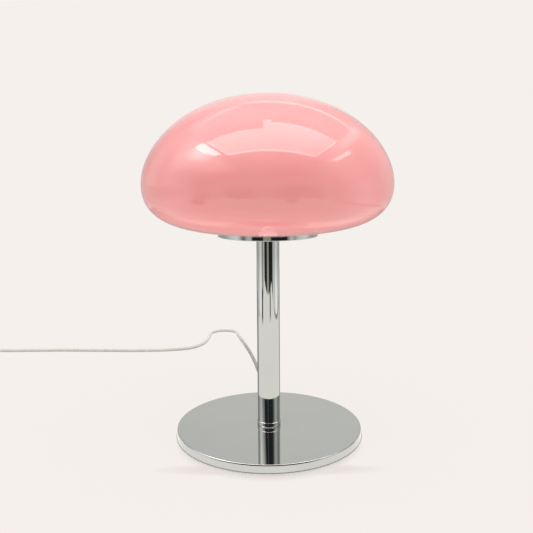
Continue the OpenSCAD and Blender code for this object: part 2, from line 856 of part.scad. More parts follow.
// A thin shank under the sleeve and a full tip in front of it
module plug_pins() {
    color(STEEL) for (side = [-1, 1])
        along_y(plug_x + side * pin_gap / 2, plug_y - plug_l - pin_l, plug_z) {
            cylinder(r = pin_r, h = bare_l, $fn = tiny_fn);
            translate([0, 0, bare_l])
                cylinder(r = shank_r, h = pin_l - bare_l + pin_root, $fn = tiny_fn);
        }
}

module plug_sleeves() {
    color([0.3, 0.3, 0.3]) for (side = [-1, 1])
        along_y(plug_x + side * pin_gap / 2, plug_y - plug_l - pin_l + bare_l, plug_z)
            ring(pin_sleeve_r, shank_r + fit, pin_l - bare_l + pin_root, tiny_fn);
}

base_pad();
base_weight();
base_cover();
base_washer();
base_nut();
threaded_rod();
stem_collar();
stem_tube();
tube_bush();
shade_plate();
plate_washer();
plate_nut();
glass_seat();
shade_glass();
holder_cap();
holder_skirt();
holder_core();
holder_sleeve();
holder_contact();
terminal_screws();
bulb_globe();
bulb_housing();
bulb_board();
bulb_cap();
bulb_insulator();
bulb_contact();
cord_gland();
cord_tail();
live_core();
neutral_core();
cord_run();
switch_base();
switch_cover();
switch_rocker();
rocker_pin();
switch_contacts();
switch_screws();
cord_link();
cord_coil();
coil_tie();
cord_end();
plug_body();
plug_pins();
plug_sleeves();
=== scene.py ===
"""Table lamp with a cloud-shaped pink opal glass shade on a chromed stem and base.

Metres, +Z up, the front towards -Y. The lamp stands on z = 0 with its stem on the z axis.
"""
import math

import bmesh
import bpy
import numpy as np
from mathutils import Matrix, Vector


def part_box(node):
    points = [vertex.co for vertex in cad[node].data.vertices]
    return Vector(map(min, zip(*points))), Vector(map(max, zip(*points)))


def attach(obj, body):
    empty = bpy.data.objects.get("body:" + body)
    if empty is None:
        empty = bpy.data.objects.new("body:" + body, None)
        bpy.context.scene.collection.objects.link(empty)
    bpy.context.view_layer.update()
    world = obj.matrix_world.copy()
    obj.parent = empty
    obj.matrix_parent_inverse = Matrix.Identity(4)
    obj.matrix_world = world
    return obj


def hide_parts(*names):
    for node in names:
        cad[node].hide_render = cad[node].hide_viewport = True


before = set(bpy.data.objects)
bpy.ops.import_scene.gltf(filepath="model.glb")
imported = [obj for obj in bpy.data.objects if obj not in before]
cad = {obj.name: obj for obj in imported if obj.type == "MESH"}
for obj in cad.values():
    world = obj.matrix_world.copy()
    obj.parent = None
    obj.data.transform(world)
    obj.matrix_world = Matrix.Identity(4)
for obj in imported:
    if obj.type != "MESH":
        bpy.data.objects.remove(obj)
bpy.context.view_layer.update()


# Camera
# It stands 0.67 m in front of the stem, level with the shade, and looks down by about nine
# degrees.
camera_place = (0, -0.6703, 0.2879)
camera_down = 0.1625
camera_yaw = 0.0023
camera_roll = -0.007
camera_lens = bpy.data.cameras.new("camera")
camera_lens.lens = 44.87
camera_lens.sensor_width = 36
camera = bpy.data.objects.new("camera", camera_lens)
camera.location = camera_place
camera.rotation_euler = (
    Matrix.Rotation(camera_yaw, 3, "Z")
    @ Matrix.Rotation(math.pi / 2 - camera_down, 3, "X")
    @ Matrix.Rotation(camera_roll, 3, "Z")
).to_euler()
bpy.context.scene.collection.objects.link(camera)
bpy.context.scene.camera = camera
bpy.context.scene.view_settings.view_transform = "Standard"


# Base: foam pad
# A disc of black foam rubber, cut from sheet and glued under the weight. It is a little
# smaller than the cover, so it shows as a dark line under the rim. At the back it is cut in
# for the cord's bush.
def linear(code):
    """Linear RGBA of an sRGB colour written as #RRGGBB."""
    shares = [int(code[i : i + 2], 16) / 255 for i in (1, 3, 5)]
    return [s / 12.92 if s <= 0.04045 else ((s + 0.055) / 1.055) ** 2.4 for s in shares] + [1]


def node(tree, kind, inputs=(), **settings):
    """Adds a shader node with its settings. Inputs come by name, or as a list in their order:
    a value, a colour as #RRGGBB, a socket to link, or a node, which stands for its first
    output in use."""
    made = tree.nodes.new("ShaderNode" + kind)
    for name, value in settings.items():
        setattr(made, name, value)
    for name, value in inputs.items() if isinstance(inputs, dict) else enumerate(inputs):
        if isinstance(value, bpy.types.Node):
            value = next(output for output in value.outputs if not output.is_unavailable)
        if isinstance(value, bpy.types.NodeSocket):
            tree.links.new(value, made.inputs[name])
        else:
            made.inputs[name].default_value = linear(value) if isinstance(value, str) else value
    return made


def speckle(tree, size, low, high, detail=2.0):
    """A colour that wanders between two over patches about size metres wide."""
    place = node(tree, "TexCoord").outputs["Object"]
    noise = node(tree, "TexNoise", {"Vector": place, "Scale": 1 / size, "Detail": detail})
    shades = node(tree, "ValToRGB", [noise])
    for mark, at, code in zip(shades.color_ramp.elements, (0.3, 0.7), (low, high)):
        mark.position = at
        mark.color = linear(code)
    return shades


def rough(tree, size, depth, detail=2.0):
    """A bumped normal with bumps about size metres wide and depth metres deep."""
    place = node(tree, "TexCoord").outputs["Object"]
    noise = node(tree, "TexNoise", {"Vector": place, "Scale": 1 / size, "Detail": detail})
    return node(tree, "Bump", {"Height": noise, "Distance": depth})


def material(name):
    """A new material with nothing in it, and its tree."""
    made = bpy.data.materials.new(name)
    made.use_nodes = True
    made.node_tree.nodes.clear()
    return made, made.node_tree


def cover(tree, **inputs):
    """Ends a material in a Principled shader with these inputs, named with _ for spaces."""
    named = {name.replace("_", " "): value for name, value in inputs.items()}
    shader = node(tree, "BsdfPrincipled", named)
    node(tree, "OutputMaterial", {"Surface": shader})


def finish(name, colour, bumps=None, **inputs):
    """A material of one finish: colour is a patch size and two colours for speckle, bumps a
    width and a depth for rough, and the other inputs are the shader's, as for cover."""
    made, tree = material(name)
    if bumps:
        inputs["Normal"] = rough(tree, *bumps)
    cover(tree, Base_Color=speckle(tree, *colour), **inputs)
    return made


def rounded(points, radii, steps=6):
    """Closed outline through corner points, with an arc of the given radius at each corner.
    The arc begins and ends at radius / tan(half the corner) from it, or less where that is
    over 45% of the shorter side. It turns evenly about its middle:
    (sin((1-t) sweep) start + sin(t sweep) end) / sin(sweep). It has steps + 1 points, and one
    more just outside each end to keep the flats flat."""
    points = np.asarray(points, float)
    outline = []
    for i, corner in enumerate(points):
        back = points[i - 1] - corner
        ahead = points[(i + 1) % len(points)] - corner
        shorter = min(np.linalg.norm(back), np.linalg.norm(ahead))
        back, ahead = back / np.linalg.norm(back), ahead / np.linalg.norm(ahead)
        half = math.acos(np.clip(back @ ahead, -1, 1)) / 2
        reach = min(radii[i] / math.tan(half), 0.45 * shorter) if radii[i] else 0
        if not reach:
            outline.append(corner[None])
            continue
        radius = reach * math.tan(half)
        middle = corner + (back + ahead) / np.linalg.norm(back + ahead) * radius / math.sin(half)
        start, end = corner + back * reach, corner + ahead * reach
        turn = np.linspace(0, 1, steps + 1)[:, None]
        sweep = math.pi - 2 * half
        arc = np.sin((1 - turn) * sweep) * (start - middle) + np.sin(turn * sweep) * (end - middle)
        outline += [start[None] + back * 0.1 * reach, middle + arc / math.sin(sweep),
                    end[None] + ahead * 0.1 * reach]
    return np.vstack(outline)


def turned(profile, places=192, twist=None):
    """Points of a surface of revolution about z: ring i has radius and height profile[i].
    twist, if given, is added to the radii: one row for each ring, one column for each place."""
    angle = np.linspace(0, 2 * math.pi, places, endpoint=False)
    radius = profile[:, :1] + (0 if twist is None else twist)
    height = np.broadcast_to(profile[:, 1:], (len(profile), places))
    return np.stack([radius * np.cos(angle), radius * np.sin(angle), height], -1)


def piece(name, grids, body, made_of, replaces, sharp=40, ends=False):
    """One piece from grids of points, each a closed skin: grid[i, j] is place j of ring i.
    The last place meets the first. The last ring meets the first, or with ends set each end
    closes in its middle. Doubles merge, edges left without a face go, and faces are turned
    outwards by the signed volume."""
    mesh = bpy.data.meshes.new(name)
    build = bmesh.new()
    for grid in [grids] if isinstance(grids, np.ndarray) else grids:
        if ends:
            lid = [np.broadcast_to(grid[i].mean(0), grid[i].shape)[None] for i in (0, -1)]
            grid = np.concatenate([lid[0], grid, lid[1]])
        rings, places = grid.shape[:2]
        index = np.arange(rings * places).reshape(rings, places)
        index = np.hstack([index, index[:, :1]])
        index = index if ends else np.vstack([index, index[:1]])
        quads = np.stack([index[:-1, :-1], index[:-1, 1:], index[1:, 1:], index[1:, :-1]], -1)
        shell_mesh = bpy.data.meshes.new("shell")
        shell_mesh.from_pydata(grid.reshape(-1, 3).tolist(), [], quads.reshape(-1, 4).tolist())
        skin = bmesh.new()
        skin.from_mesh(shell_mesh)
        bmesh.ops.remove_doubles(skin, verts=skin.verts, dist=1e-7)
        loose = [edge for edge in skin.edges if edge.is_wire]
        bmesh.ops.delete(skin, geom=loose, context="EDGES")
        if skin.calc_volume(signed=True) < 0:
            bmesh.ops.reverse_faces(skin, faces=skin.faces)
        skin.to_mesh(shell_mesh)
        skin.free()
        build.from_mesh(shell_mesh)
        bpy.data.meshes.remove(shell_mesh)
    build.to_mesh(mesh)
    build.free()
    mesh.shade_smooth()
    mesh.set_sharp_from_angle(angle=math.radians(sharp))
    mesh.materials.append(made_of)
    made = bpy.data.objects.new(name, mesh)
    bpy.context.scene.collection.objects.link(made)
    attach(made, body)
    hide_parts(*replaces)
    return made


# Foam rubber, cut from sheet: cells a third of a millimetre wide make a dull, black, grainy
# edge that swallows the light.
foam = finish("foam_rubber", (0.0009, "#1C1C1D", "#313133"), (0.00035, 0.0003),
              Roughness=0.95, Specular_IOR_Level=0.2)

pad_low, pad_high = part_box("base_pad")
pad_r, pad_edge, pad_places = pad_high[0], 0.0003, 384
notch_deep, notch_half = 0.0035, 5.0
pad_profile = rounded([(0, pad_low[2]), (pad_r, pad_low[2]), (pad_r, pad_high[2]),
                       (0, pad_high[2])], [0, pad_edge, pad_edge, 0], steps=3)
from_back = np.abs(np.linspace(0, 360, pad_places, endpoint=False) - 90)
notch = -notch_deep * np.clip(2 * (1 - from_back / notch_half), 0, 1)
piece("base_pad_foam", turned(pad_profile, pad_places, notch * (pad_profile[:, :1] > 0)),
      "stand", foam, ["base_pad"])


# Base: weight, and the steel fixings
# A plain steel disc, laser cut from plate, keeps the lamp from tipping. It lies hidden under
# the cover. Rod, washers, rocker pin and switch screws are of the same plain steel.
def dress(made_of, *names):
    """Gives a material to CAD nodes, which keep their shape."""
    for name in names:
        cad[name].data.materials.clear()
        cad[name].data.materials.append(made_of)


# Steel, rolled, as it comes from the mill: cloudy mid grey, half dull, with a fine grain.
steel = finish("mill_finish_steel", (0.004, "#8A8B8C", "#A3A4A4"), (0.0006, 0.00002),
               Metallic=1.0, Roughness=0.42)
dress(steel, "base_weight", "base_washer", "plate_washer", "threaded_rod", "rocker_pin",
      "switch_screws")


# Base: cover
# Pressed from 1.2 mm steel sheet with a rounded upper edge, polished, chromed, and pushed
# over the weight. The nut on the rod holds it from below.

# Chrome plate, polished: a clear, light grey mirror. The metal under it keeps very long,
# shallow waves, which bend what it mirrors a little.
chrome = finish("polished_chrome", (0.05, "#C3C4C3", "#C6C7C5"), (0.07, 0.00003),
                Metallic=1.0, Roughness=0.035)

base_low, base_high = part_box("base_cover")
base_r, base_top = base_high[0], base_high[2]
cover_wall = 0.0012
bevel_in, bevel_down = 0.0006, 0.0013
rod_hole = 0.00505
fine_places = 256
cover_profile = rounded(
    [(rod_hole, base_top), (base_r - bevel_in, base_top), (base_r, base_top - bevel_down),
     (base_r, base_low[2]), (base_r - cover_wall, base_low[2]),
     (base_r - cover_wall, base_top - cover_wall), (rod_hole, base_top - cover_wall)],
    [0, 0.0007, 0.0014, 0.0003, 0.0003, 0.0006, 0], steps=8)
piece("base_cover_chrome", turned(cover_profile, fine_places), "stand", chrome,
      ["base_cover"])


# Stem: tube, collar and bush
# A low chromed ring takes the foot of a drawn steel tube, which is polished and chromed. A
# brass bush centres it on the threaded rod that clamps base, tube and plate together.
tube_low, tube_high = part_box("stem_tube")
tube_r = tube_high[0]
tube_wall, tube_edge = 0.001, 0.0001
tube_profile = rounded(
    [(tube_r, tube_low[2]), (tube_r, tube_high[2]), (tube_r - tube_wall, tube_high[2]),
     (tube_r - tube_wall, tube_low[2])], [tube_edge] * 4, steps=2)
piece("stem_tube_chrome", turned(tube_profile), "stand", chrome, ["stem_tube"])

# The collar's upper edge is turned off at two angles. The three points that it goes through
# are each so far in and so far down.
collar_low, collar_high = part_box("stem_collar")
collar_r, collar_top = collar_high[0], collar_high[2]
collar_in, collar_web = tube_r + 0.00005, collar_low[2] + 0.001
collar_edge = [(0, 0.00062), (0.00016, 0.00024), (0.00042, 0)]
collar_profile = rounded(
    [(rod_hole, collar_low[2]), (collar_r, collar_low[2])]
    + [(collar_r - step_in, collar_top - step_down) for step_in, step_down in collar_edge]
    + [(collar_in, collar_top), (collar_in, collar_web), (rod_hole, collar_web)],
    [0, 0.0009, 0.00004, 0.00004, 0.00002, 0, 0.0001, 0], steps=4)
piece("stem_collar_chrome", turned(collar_profile), "stand", chrome, ["stem_collar"])

# Brass, turned: warm yellow and satin, with fine tool marks.
brass = finish("turned_brass", (0.003, "#C9A659", "#D6B56C"), (0.0004, 0.00001),
               Metallic=1.0, Roughness=0.24)
dress(brass, "tube_bush", "base_nut", "holder_contact", "terminal_screws", "switch_contacts")


# Shade plate, with its nut and the glass's seat
# A turned steel disc with a low rim, polished and chromed all over. The glass stands inside
# the rim on a soft ring, and the brass nut on the rod holds the plate down.
plate_low, plate_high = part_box("shade_plate")
plate_r, plate_z, plate_top = plate_high[0], plate_low[2], plate_high[2]
plate_in, plate_web = 0.0444, plate_z + 0.0016
plate_profile = rounded(
    [(rod_hole, plate_z), (plate_r, plate_z), (plate_r, plate_top), (plate_in, plate_top),
     (plate_in, plate_web), (rod_hole, plate_web)],
    [0, 0.0006, 0.0005, 0.0003, 0.0003, 0], steps=5)
piece("shade_plate_chrome", turned(plate_profile, fine_places), "stand", chrome,
      ["shade_plate"])


def hexagon(low, high, across, bore, chamfer, places=96):
    """Grid of a hexagon nut. The radius in each direction is the hexagon's, half its width
    across flats / cos(angle from the nearest flat's middle), and at the two faces no more
    than a cone's, which cuts the corners. The bore closes the outline."""
    angle = np.linspace(0, 2 * math.pi, places, endpoint=False)
    from_flat = (angle + math.pi / 6) % (math.pi / 3) - math.pi / 6
    six = across / 2 / np.cos(from_flat)
    height = np.array([low, low, low + chamfer, high - chamfer, high, high])
    face, free = across / 2 - 0.0001, 2 * across
    limit = np.array([bore, face, free, free, face, bore])
    radius = np.minimum(six[None], limit[:, None])
    rise = np.broadcast_to(height[:, None], radius.shape)
    return np.stack([radius * np.cos(angle), radius * np.sin(angle), rise], -1)


nut_low, nut_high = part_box("plate_nut")
nut_across, nut_chamfer = 0.014, 0.0005
piece("plate_nut_hexagon", hexagon(nut_low[2], nut_high[2], nut_across, rod_hole, nut_chamfer),
      "stand", brass, ["plate_nut"], sharp=25)

# Silicone rubber, moulded: milky white and matt, a soft line between glass and chrome.
rubber = finish("silicone_rubber", (0.002, "#DAD8D2", "#E4E2DC"), (0.0005, 0.00002),
                Roughness=0.6)
seat_low, seat_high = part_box("glass_seat")
seat_out, seat_in = seat_high[0], seat_high[0] - 0.0042
seat_profile = rounded([(seat_in, seat_low[2]), (seat_out, seat_low[2]),
                        (seat_out, seat_high[2]), (seat_in, seat_high[2])],
                       [0.0001, 0.0001, 0.00025, 0.00025], steps=4)
piece("glass_seat_ring", turned(seat_profile), "stand", rubber, ["glass_seat"])


# Glass shade
# Blown opal glass, pink through and through, fire polished outside. Its outline is two
# smooth curves that meet upright at the widest place, and a short lip stands in the plate.
def bezier(a, b, c, d, count):
    """Points of a cubic Bezier curve: (1-t)^3 a + 3 (1-t)^2 t b + 3 (1-t) t^2 c + t^3 d."""
    t = np.linspace(0, 1, count)[:, None]
    a, b, c, d = (np.asarray(p, float) for p in (a, b, c, d))
    return (1 - t) ** 3 * a + 3 * (1 - t) ** 2 * t * b + 3 * (1 - t) * t ** 2 * c + t ** 3 * d


def inwards(curve, wall):
    """The curve moved by wall to its left, square to its own direction at each point."""
    run = np.gradient(curve, axis=0)
    run /= np.linalg.norm(run, axis=1)[:, None]
    return curve + wall * np.stack([-run[:, 1], run[:, 0]], -1)


glass_low, glass_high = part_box("shade_glass")
shade_r, crown = glass_high[0], glass_high[2]
glass_wall, lip_r, foot_r = 0.0032, 0.044, 0.050
foot = plate_top + 0.0003
belly = foot + 0.0472
foot_pull, belly_pull, side_pull, crown_pull = (0.061, 0.0037), 0.0229, 0.0378, 0.080
lower = bezier((foot_r, foot), (foot_r + foot_pull[0], foot + foot_pull[1]),
               (shade_r, belly - belly_pull), (shade_r, belly), 44)
upper = bezier((shade_r, belly), (shade_r, belly + side_pull), (crown_pull, crown),
               (0, crown), 64)
outside = np.vstack([lower, upper[1:]])
inside = inwards(outside, glass_wall)[2:-1]
lip = rounded(
    [(lip_r - glass_wall, foot + glass_wall), (lip_r - glass_wall, glass_low[2]),
     (lip_r, glass_low[2]), (lip_r, foot), tuple(outside[0])],
    [0.001, 0.001, 0.001, 0.0004, 0], steps=4)[:-1]
glass_profile = np.vstack([lip, outside, [(0, crown - glass_wall)], inside[::-1],
                           [(foot_r - 0.001, foot + glass_wall)]])

# Opal glass, blown and fire polished: an even pink that light enters a few millimetres deep,
# soft underneath and clear and hard on top, with a mirror that wavers a little.
glass, tree = material("pink_opal_glass")
cover(tree, Base_Color=speckle(tree, 0.06, "#F79F9F", "#F8A4A3", 1.0), Roughness=0.36,
      Specular_IOR_Level=0.0, Subsurface_Weight=0.35, Subsurface_Radius=(1.0, 0.6, 0.55),
      Subsurface_Scale=0.004, Coat_Weight=1.0, Coat_Roughness=0.03, Coat_IOR=1.55,
      Coat_Normal=rough(tree, 0.045, 0.00012, 1.0))
piece("shade_glass_blown", turned(glass_profile), "shade", glass, ["shade_glass"])


# Lampholder
# An E14 holder, moulded in white thermoplastic: a cap on the rod, and a skirt screwed into
# it that has a coarse thread outside. Inside are a ceramic core and a brass sleeve.
def thread(places, heights, pitch, depth, fade):
    """Depths of a screw thread, to add to radii, for each height and each place round: half
    the depth times 1 - cos(turns climbed - turns gone round). It climbs one pitch a turn and
    fades in and out over the length fade at both ends of heights."""
    angle = np.linspace(0, 1, places, endpoint=False)
    wave = 0.5 - 0.5 * np.cos(2 * math.pi * (heights[:, None] / pitch - angle))
    ends = np.minimum(heights - heights.min(), heights.max() - heights) / fade
    return -depth * wave * np.clip(ends, 0, 1)[:, None]


# Thermoplastic, moulded: off-white and half glossy, with a faint orange peel.
plastic = finish("moulded_thermoplastic", (0.01, "#E2E1DC", "#EAE9E5"), (0.0007, 0.00001),
                 Roughness=0.38)

cap_low, cap_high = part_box("holder_cap")
cap_r, cap_foot, cap_top = cap_high[0], cap_low[2], cap_high[2]
holder_wall, cap_slope, cap_floor, boss_r, boss_h = 0.0018, 0.004, 0.0024, 0.007, 0.008
holder_places = 96
cap_profile = rounded(
    [(rod_hole, cap_foot), (cap_r - cap_slope, cap_foot), (cap_r, cap_foot + cap_slope),
     (cap_r, cap_top), (cap_r - holder_wall, cap_top),
     (cap_r - holder_wall, cap_foot + cap_slope), (cap_r - cap_slope, cap_foot + cap_floor),
     (boss_r, cap_foot + cap_floor), (boss_r, cap_foot + boss_h), (rod_hole, cap_foot + boss_h)],
    [0.0003, 0.0008, 0.0008, 0.0003, 0.0003, 0, 0, 0, 0.0003, 0], steps=4)
piece("holder_cap_moulded", turned(cap_profile, holder_places), "stand",
      plastic, ["holder_cap"])

# The skirt's thread has a pitch of 2.5 mm. Below it, a plain neck sits in the cap.
skirt_rings, skirt_pitch, skirt_deep, skirt_fade = 140, 0.0025, 0.0008, 0.0015
skirt_low, skirt_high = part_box("holder_skirt")
skirt_foot, skirt_top, skirt_in = skirt_low[2], skirt_high[2], 0.0112
neck_out = cap_r - holder_wall - 0.00005
skirt_rise = np.linspace(cap_top, skirt_top - 0.001, skirt_rings)
skirt_neck = [(skirt_in, skirt_foot), (neck_out, skirt_foot), (neck_out, cap_top - 0.0001)]
skirt_profile = np.vstack([
    skirt_neck, np.stack([np.full(skirt_rings, cap_r), skirt_rise], -1),
    [(cap_r - 0.001, skirt_top), (skirt_in, skirt_top)]])
skirt_twist = np.zeros((len(skirt_profile), holder_places))
skirt_twist[len(skirt_neck):-2] = thread(holder_places, skirt_rise, skirt_pitch, skirt_deep,
                                         skirt_fade)
piece("holder_skirt_threaded", turned(skirt_profile, holder_places, skirt_twist), "stand",
      plastic, ["holder_skirt"])

# Steatite, pressed and fired: warm white, hard and slightly grained.
steatite = finish("steatite_ceramic", (0.003, "#EDE9DF", "#F4F1E9"), (0.0008, 0.00003),
                  Roughness=0.3)
dress(steatite, "holder_core")

# The sleeve is rolled from 0.3 mm brass, so its thread shows inside as well.
sleeve_low, sleeve_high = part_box("holder_sleeve")
sleeve_out, sleeve_wall, sleeve_deep = sleeve_high[0], 0.0003, 0.0002
screw_pitch, screw_rings, screw_places, screw_fade = 0.00282, 84, 64, 0.002
sleeve_rise = np.linspace(sleeve_low[2], sleeve_high[2], screw_rings)
sleeve_profile = np.vstack([
    np.stack([np.full(screw_rings, sleeve_out), sleeve_rise], -1),
    np.stack([np.full(screw_rings, sleeve_out - sleeve_wall), sleeve_rise[::-1]], -1)])
sleeve_groove = thread(screw_places, sleeve_rise, screw_pitch, sleeve_deep, screw_fade)
sleeve_twist = np.vstack([sleeve_groove, sleeve_groove[::-1]])
piece("holder_sleeve_threaded", turned(sleeve_profile, screw_places, sleeve_twist), "stand",
      brass, ["holder_sleeve"])


# Bulb
# A small globe LED bulb with an E14 screw cap: an opal plastic globe on a white housing,
# and a nickel-plated cap with a rolled thread, a glass bead and a round contact.

# Polycarbonate, opal, blown: a milky white that blurs its own edge and hides the inside.
frosted = finish("opal_polycarbonate", (0.02, "#F4F2EC", "#F8F6F1"), (0.0004, 0.000006),
                 Roughness=0.32, Subsurface_Weight=0.4, Subsurface_Scale=0.004)

globe_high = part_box("bulb_globe")[1]
housing_low, housing_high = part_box("bulb_housing")
globe_r, globe_wall = globe_high[0], 0.0012
globe_z = globe_high[2] - globe_r
housing_r, housing_top = housing_high[0], housing_high[2]
globe_foot = math.asin((housing_top - globe_z) / globe_r)
globe_turn = np.linspace(globe_foot, math.pi / 2, 40)
ball = np.stack([np.cos(globe_turn), np.sin(globe_turn)], -1)
globe_profile = np.vstack([globe_r * ball, (globe_r - globe_wall) * ball[::-1]]) + (0, globe_z)
bulb_places = 96
piece("bulb_globe_opal", turned(globe_profile, bulb_places), "bulb", frosted,
      ["bulb_globe"])

screw_low, screw_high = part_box("bulb_cap")
screw_r, screw_foot, screw_top = screw_high[0], screw_low[2], screw_high[2]
neck_r, housing_lip = screw_r - 0.0004, 0.0022
board_z = housing_top - 0.003
housing_profile = rounded(
    [(0, housing_low[2]), (neck_r, housing_low[2]), (neck_r, screw_top),
     (screw_r + 0.001, screw_top), (housing_r - 0.001, housing_top - 0.008),
     (housing_r, housing_top), (housing_r - housing_lip, housing_top),
     (housing_r - housing_lip, board_z), (0, board_z)],
    [0, 0.0003, 0, 0.0006, 0.006, 0.0002, 0.0002, 0, 0], steps=6)
piece("bulb_housing_moulded", turned(housing_profile, bulb_places), "bulb",
      plastic, ["bulb_housing"])

# Nickel plate on brass: a slightly yellow grey metal with a blurred mirror.
nickel = finish("nickel_plated_brass", (0.004, "#BFBBB2", "#CBC8C0"), (0.0006, 0.00001),
                Metallic=1.0, Roughness=0.2)
screw_rise = np.linspace(screw_foot + 0.0024, screw_top, screw_rings)
bead_r, screw_deep = 0.0046, 0.00045
screw_profile = np.vstack([
    [(bead_r, screw_foot), (bead_r + 0.0006, screw_foot)],
    np.stack([np.full(screw_rings, screw_r), screw_rise], -1),
    [(screw_r - 0.00035, screw_top), (screw_r - 0.0009, screw_foot + 0.0026),
     (bead_r, screw_foot + 0.0006)]])
screw_twist = np.zeros((len(screw_profile), screw_places))
screw_twist[2:-3] = thread(screw_places, screw_rise, screw_pitch, screw_deep, screw_fade)
piece("bulb_cap_threaded", turned(screw_profile, screw_places, screw_twist), "bulb",
      nickel, ["bulb_cap"])
dress(nickel, "bulb_contact")

# Bead glass, fused into the cap: black with a wet gloss.
bead_glass = finish("black_bead_glass", (0.003, "#121317", "#1D1E24"), Roughness=0.08, IOR=1.5)
dress(bead_glass, "bulb_insulator")

# Aluminium board, lacquered: an even white with a slight sheen.
aluminium = finish("white_lacquered_aluminium", (0.002, "#D8DAD9", "#E3E5E3"), Roughness=0.35)
dress(aluminium, "bulb_board")


# Cord: strain relief, and the wires inside
# A soft PVC bush pressed into a hole in the rear rim. Outside the rim it tapers round the
# cord in a row of ribs, so that the cord can't be bent sharply where it leaves. The sheath
# ends in the base, and two single cores run on through the rod.

# Soft PVC, extruded and moulded: a dull off-white with hardly any shine.
cord_white = (0.012, "#DAD7D1", "#E2DFDA")
cord_bumps = (0.001, 0.00001)
pvc = finish("soft_white_pvc", cord_white, cord_bumps, Roughness=0.7, Specular_IOR_Level=0.1)

cord_d = 0.0048
gland_low, gland_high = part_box("cord_gland")
gland_z = (gland_low[2] + gland_high[2]) / 2
gland_r, flange_h, waist = cord_d / 2 + 0.0009, 0.0004, 0.0002
gland_at = np.array([gland_low[1], gland_low[1] + 0.005, gland_low[1] + 0.0065])

# The taper's radius falls evenly, less a rib's depth times 1/2 - 1/2 cos(turns of the wave).
taper = np.linspace(0.0002, gland_high[1] - gland_at[2], 100)
ribs, rib_depth, taper_in = 8, 0.00028, 0.00035
rib_wave = 0.5 + 0.5 * np.cos(2 * math.pi * ribs * taper / taper[-1])
taper_r = gland_r - waist - taper_in * taper / taper[-1] - rib_depth * (1 - rib_wave)
gland_profile = np.vstack([
    rounded([(cord_d / 2, gland_at[0]), (gland_r, gland_at[0]), (gland_r, gland_at[1]),
             (gland_r + flange_h, gland_at[1]), (gland_r + flange_h, gland_at[2]),
             (gland_r - waist, gland_at[2])], [0, 0.0003, 0, 0.0002, 0.0004, 0], steps=4),
    np.stack([taper_r, gland_at[2] + taper], -1), [(cord_d / 2, gland_high[1])]])


def along_y(grid, x, z):
    """A grid turned about z, laid over so that its axis runs along +Y at this x and z."""
    return np.stack([grid[..., 0] + x, grid[..., 2], grid[..., 1] + z], -1)


gland = piece("cord_strain_relief", along_y(turned(gland_profile, 64), 0, gland_z), "stand",
              pvc, ["cord_gland"])
dress(pvc, "cord_tail")

# PVC core insulation, extruded: the brown and the blue of mains cores, half glossy.
brown = finish("brown_core_insulation", (0.004, "#6B3E22", "#7A4A2B"), Roughness=0.45)
blue = finish("blue_core_insulation", (0.004, "#2A4E94", "#3560A8"), Roughness=0.45)
dress(brown, "live_core")
dress(blue, "neutral_core")


# Cord
# Round two-core mains cord, white PVC, 4.8 mm thick. It lies on the table behind the lamp
# in one loose turn, runs to the in-line switch, and the rest is put away in a round coil.
def lay_cord(name, points, made_of, replaces):
    """A round cord along a smooth curve through the points. Each point's handles lie along
    the line from the point before it to the one after it, a sixth of that line away, but
    never lower than the lowest point."""
    points = np.asarray(points, float)
    wide = np.vstack([2 * points[0] - points[1], points, 2 * points[-1] - points[-2]])
    reach = (wide[2:] - wide[:-2]) / 6
    handles = [points - reach, points + reach]
    for handle in handles:
        handle[:, 2] = np.maximum(handle[:, 2], points[:, 2].min())
    line = bpy.data.curves.new(name, "CURVE")
    line.dimensions = "3D"
    line.bevel_depth = cord_d / 2
    line.bevel_resolution = 8
    line.use_fill_caps = True
    spline = line.splines.new("BEZIER")
    spline.bezier_points.add(len(points) - 1)
    spline.resolution_u = 6
    for key, place in zip(("co", "handle_left", "handle_right"), [points] + handles):
        spline.bezier_points.foreach_set(key, place.ravel())
    line.materials.append(made_of)
    made = bpy.data.objects.new(name, line)
    bpy.context.scene.collection.objects.link(made)
    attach(made, "stand")
    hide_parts(*replaces)
    return made


# The same PVC with painted shade: a darker grey near the lamp stands in for shade, and it
# is all but white from the loose turn on. It clears over 120 mm, told by how far back plus
# how far left a place is.
shade_until, unshaded_from = 0.33, 0.45
shaded_pvc, tree = material("soft_white_pvc_with_painted_shade")
cord_place = node(tree, "TexCoord").outputs["Object"]
cord_x, cord_y, _ = node(tree, "SeparateXYZ", [cord_place]).outputs
way_out = node(tree, "Math", [cord_y, cord_x], operation="SUBTRACT")
unshaded = node(tree, "MapRange", {"Value": way_out, "From Min": shade_until,
                                  "From Max": unshaded_from})
# The grey of the sheath near the lamp is painted shade.
sheath = node(tree, "Mix", {"Factor": unshaded, "A": speckle(tree, 0.012, "#A3A19C", "#ABA9A4"),
                            "B": speckle(tree, *cord_white)}, data_type="RGBA")
cover(tree, Base_Color=sheath, Roughness=0.7, Specular_IOR_Level=0.1,
      Normal=rough(tree, *cord_bumps))

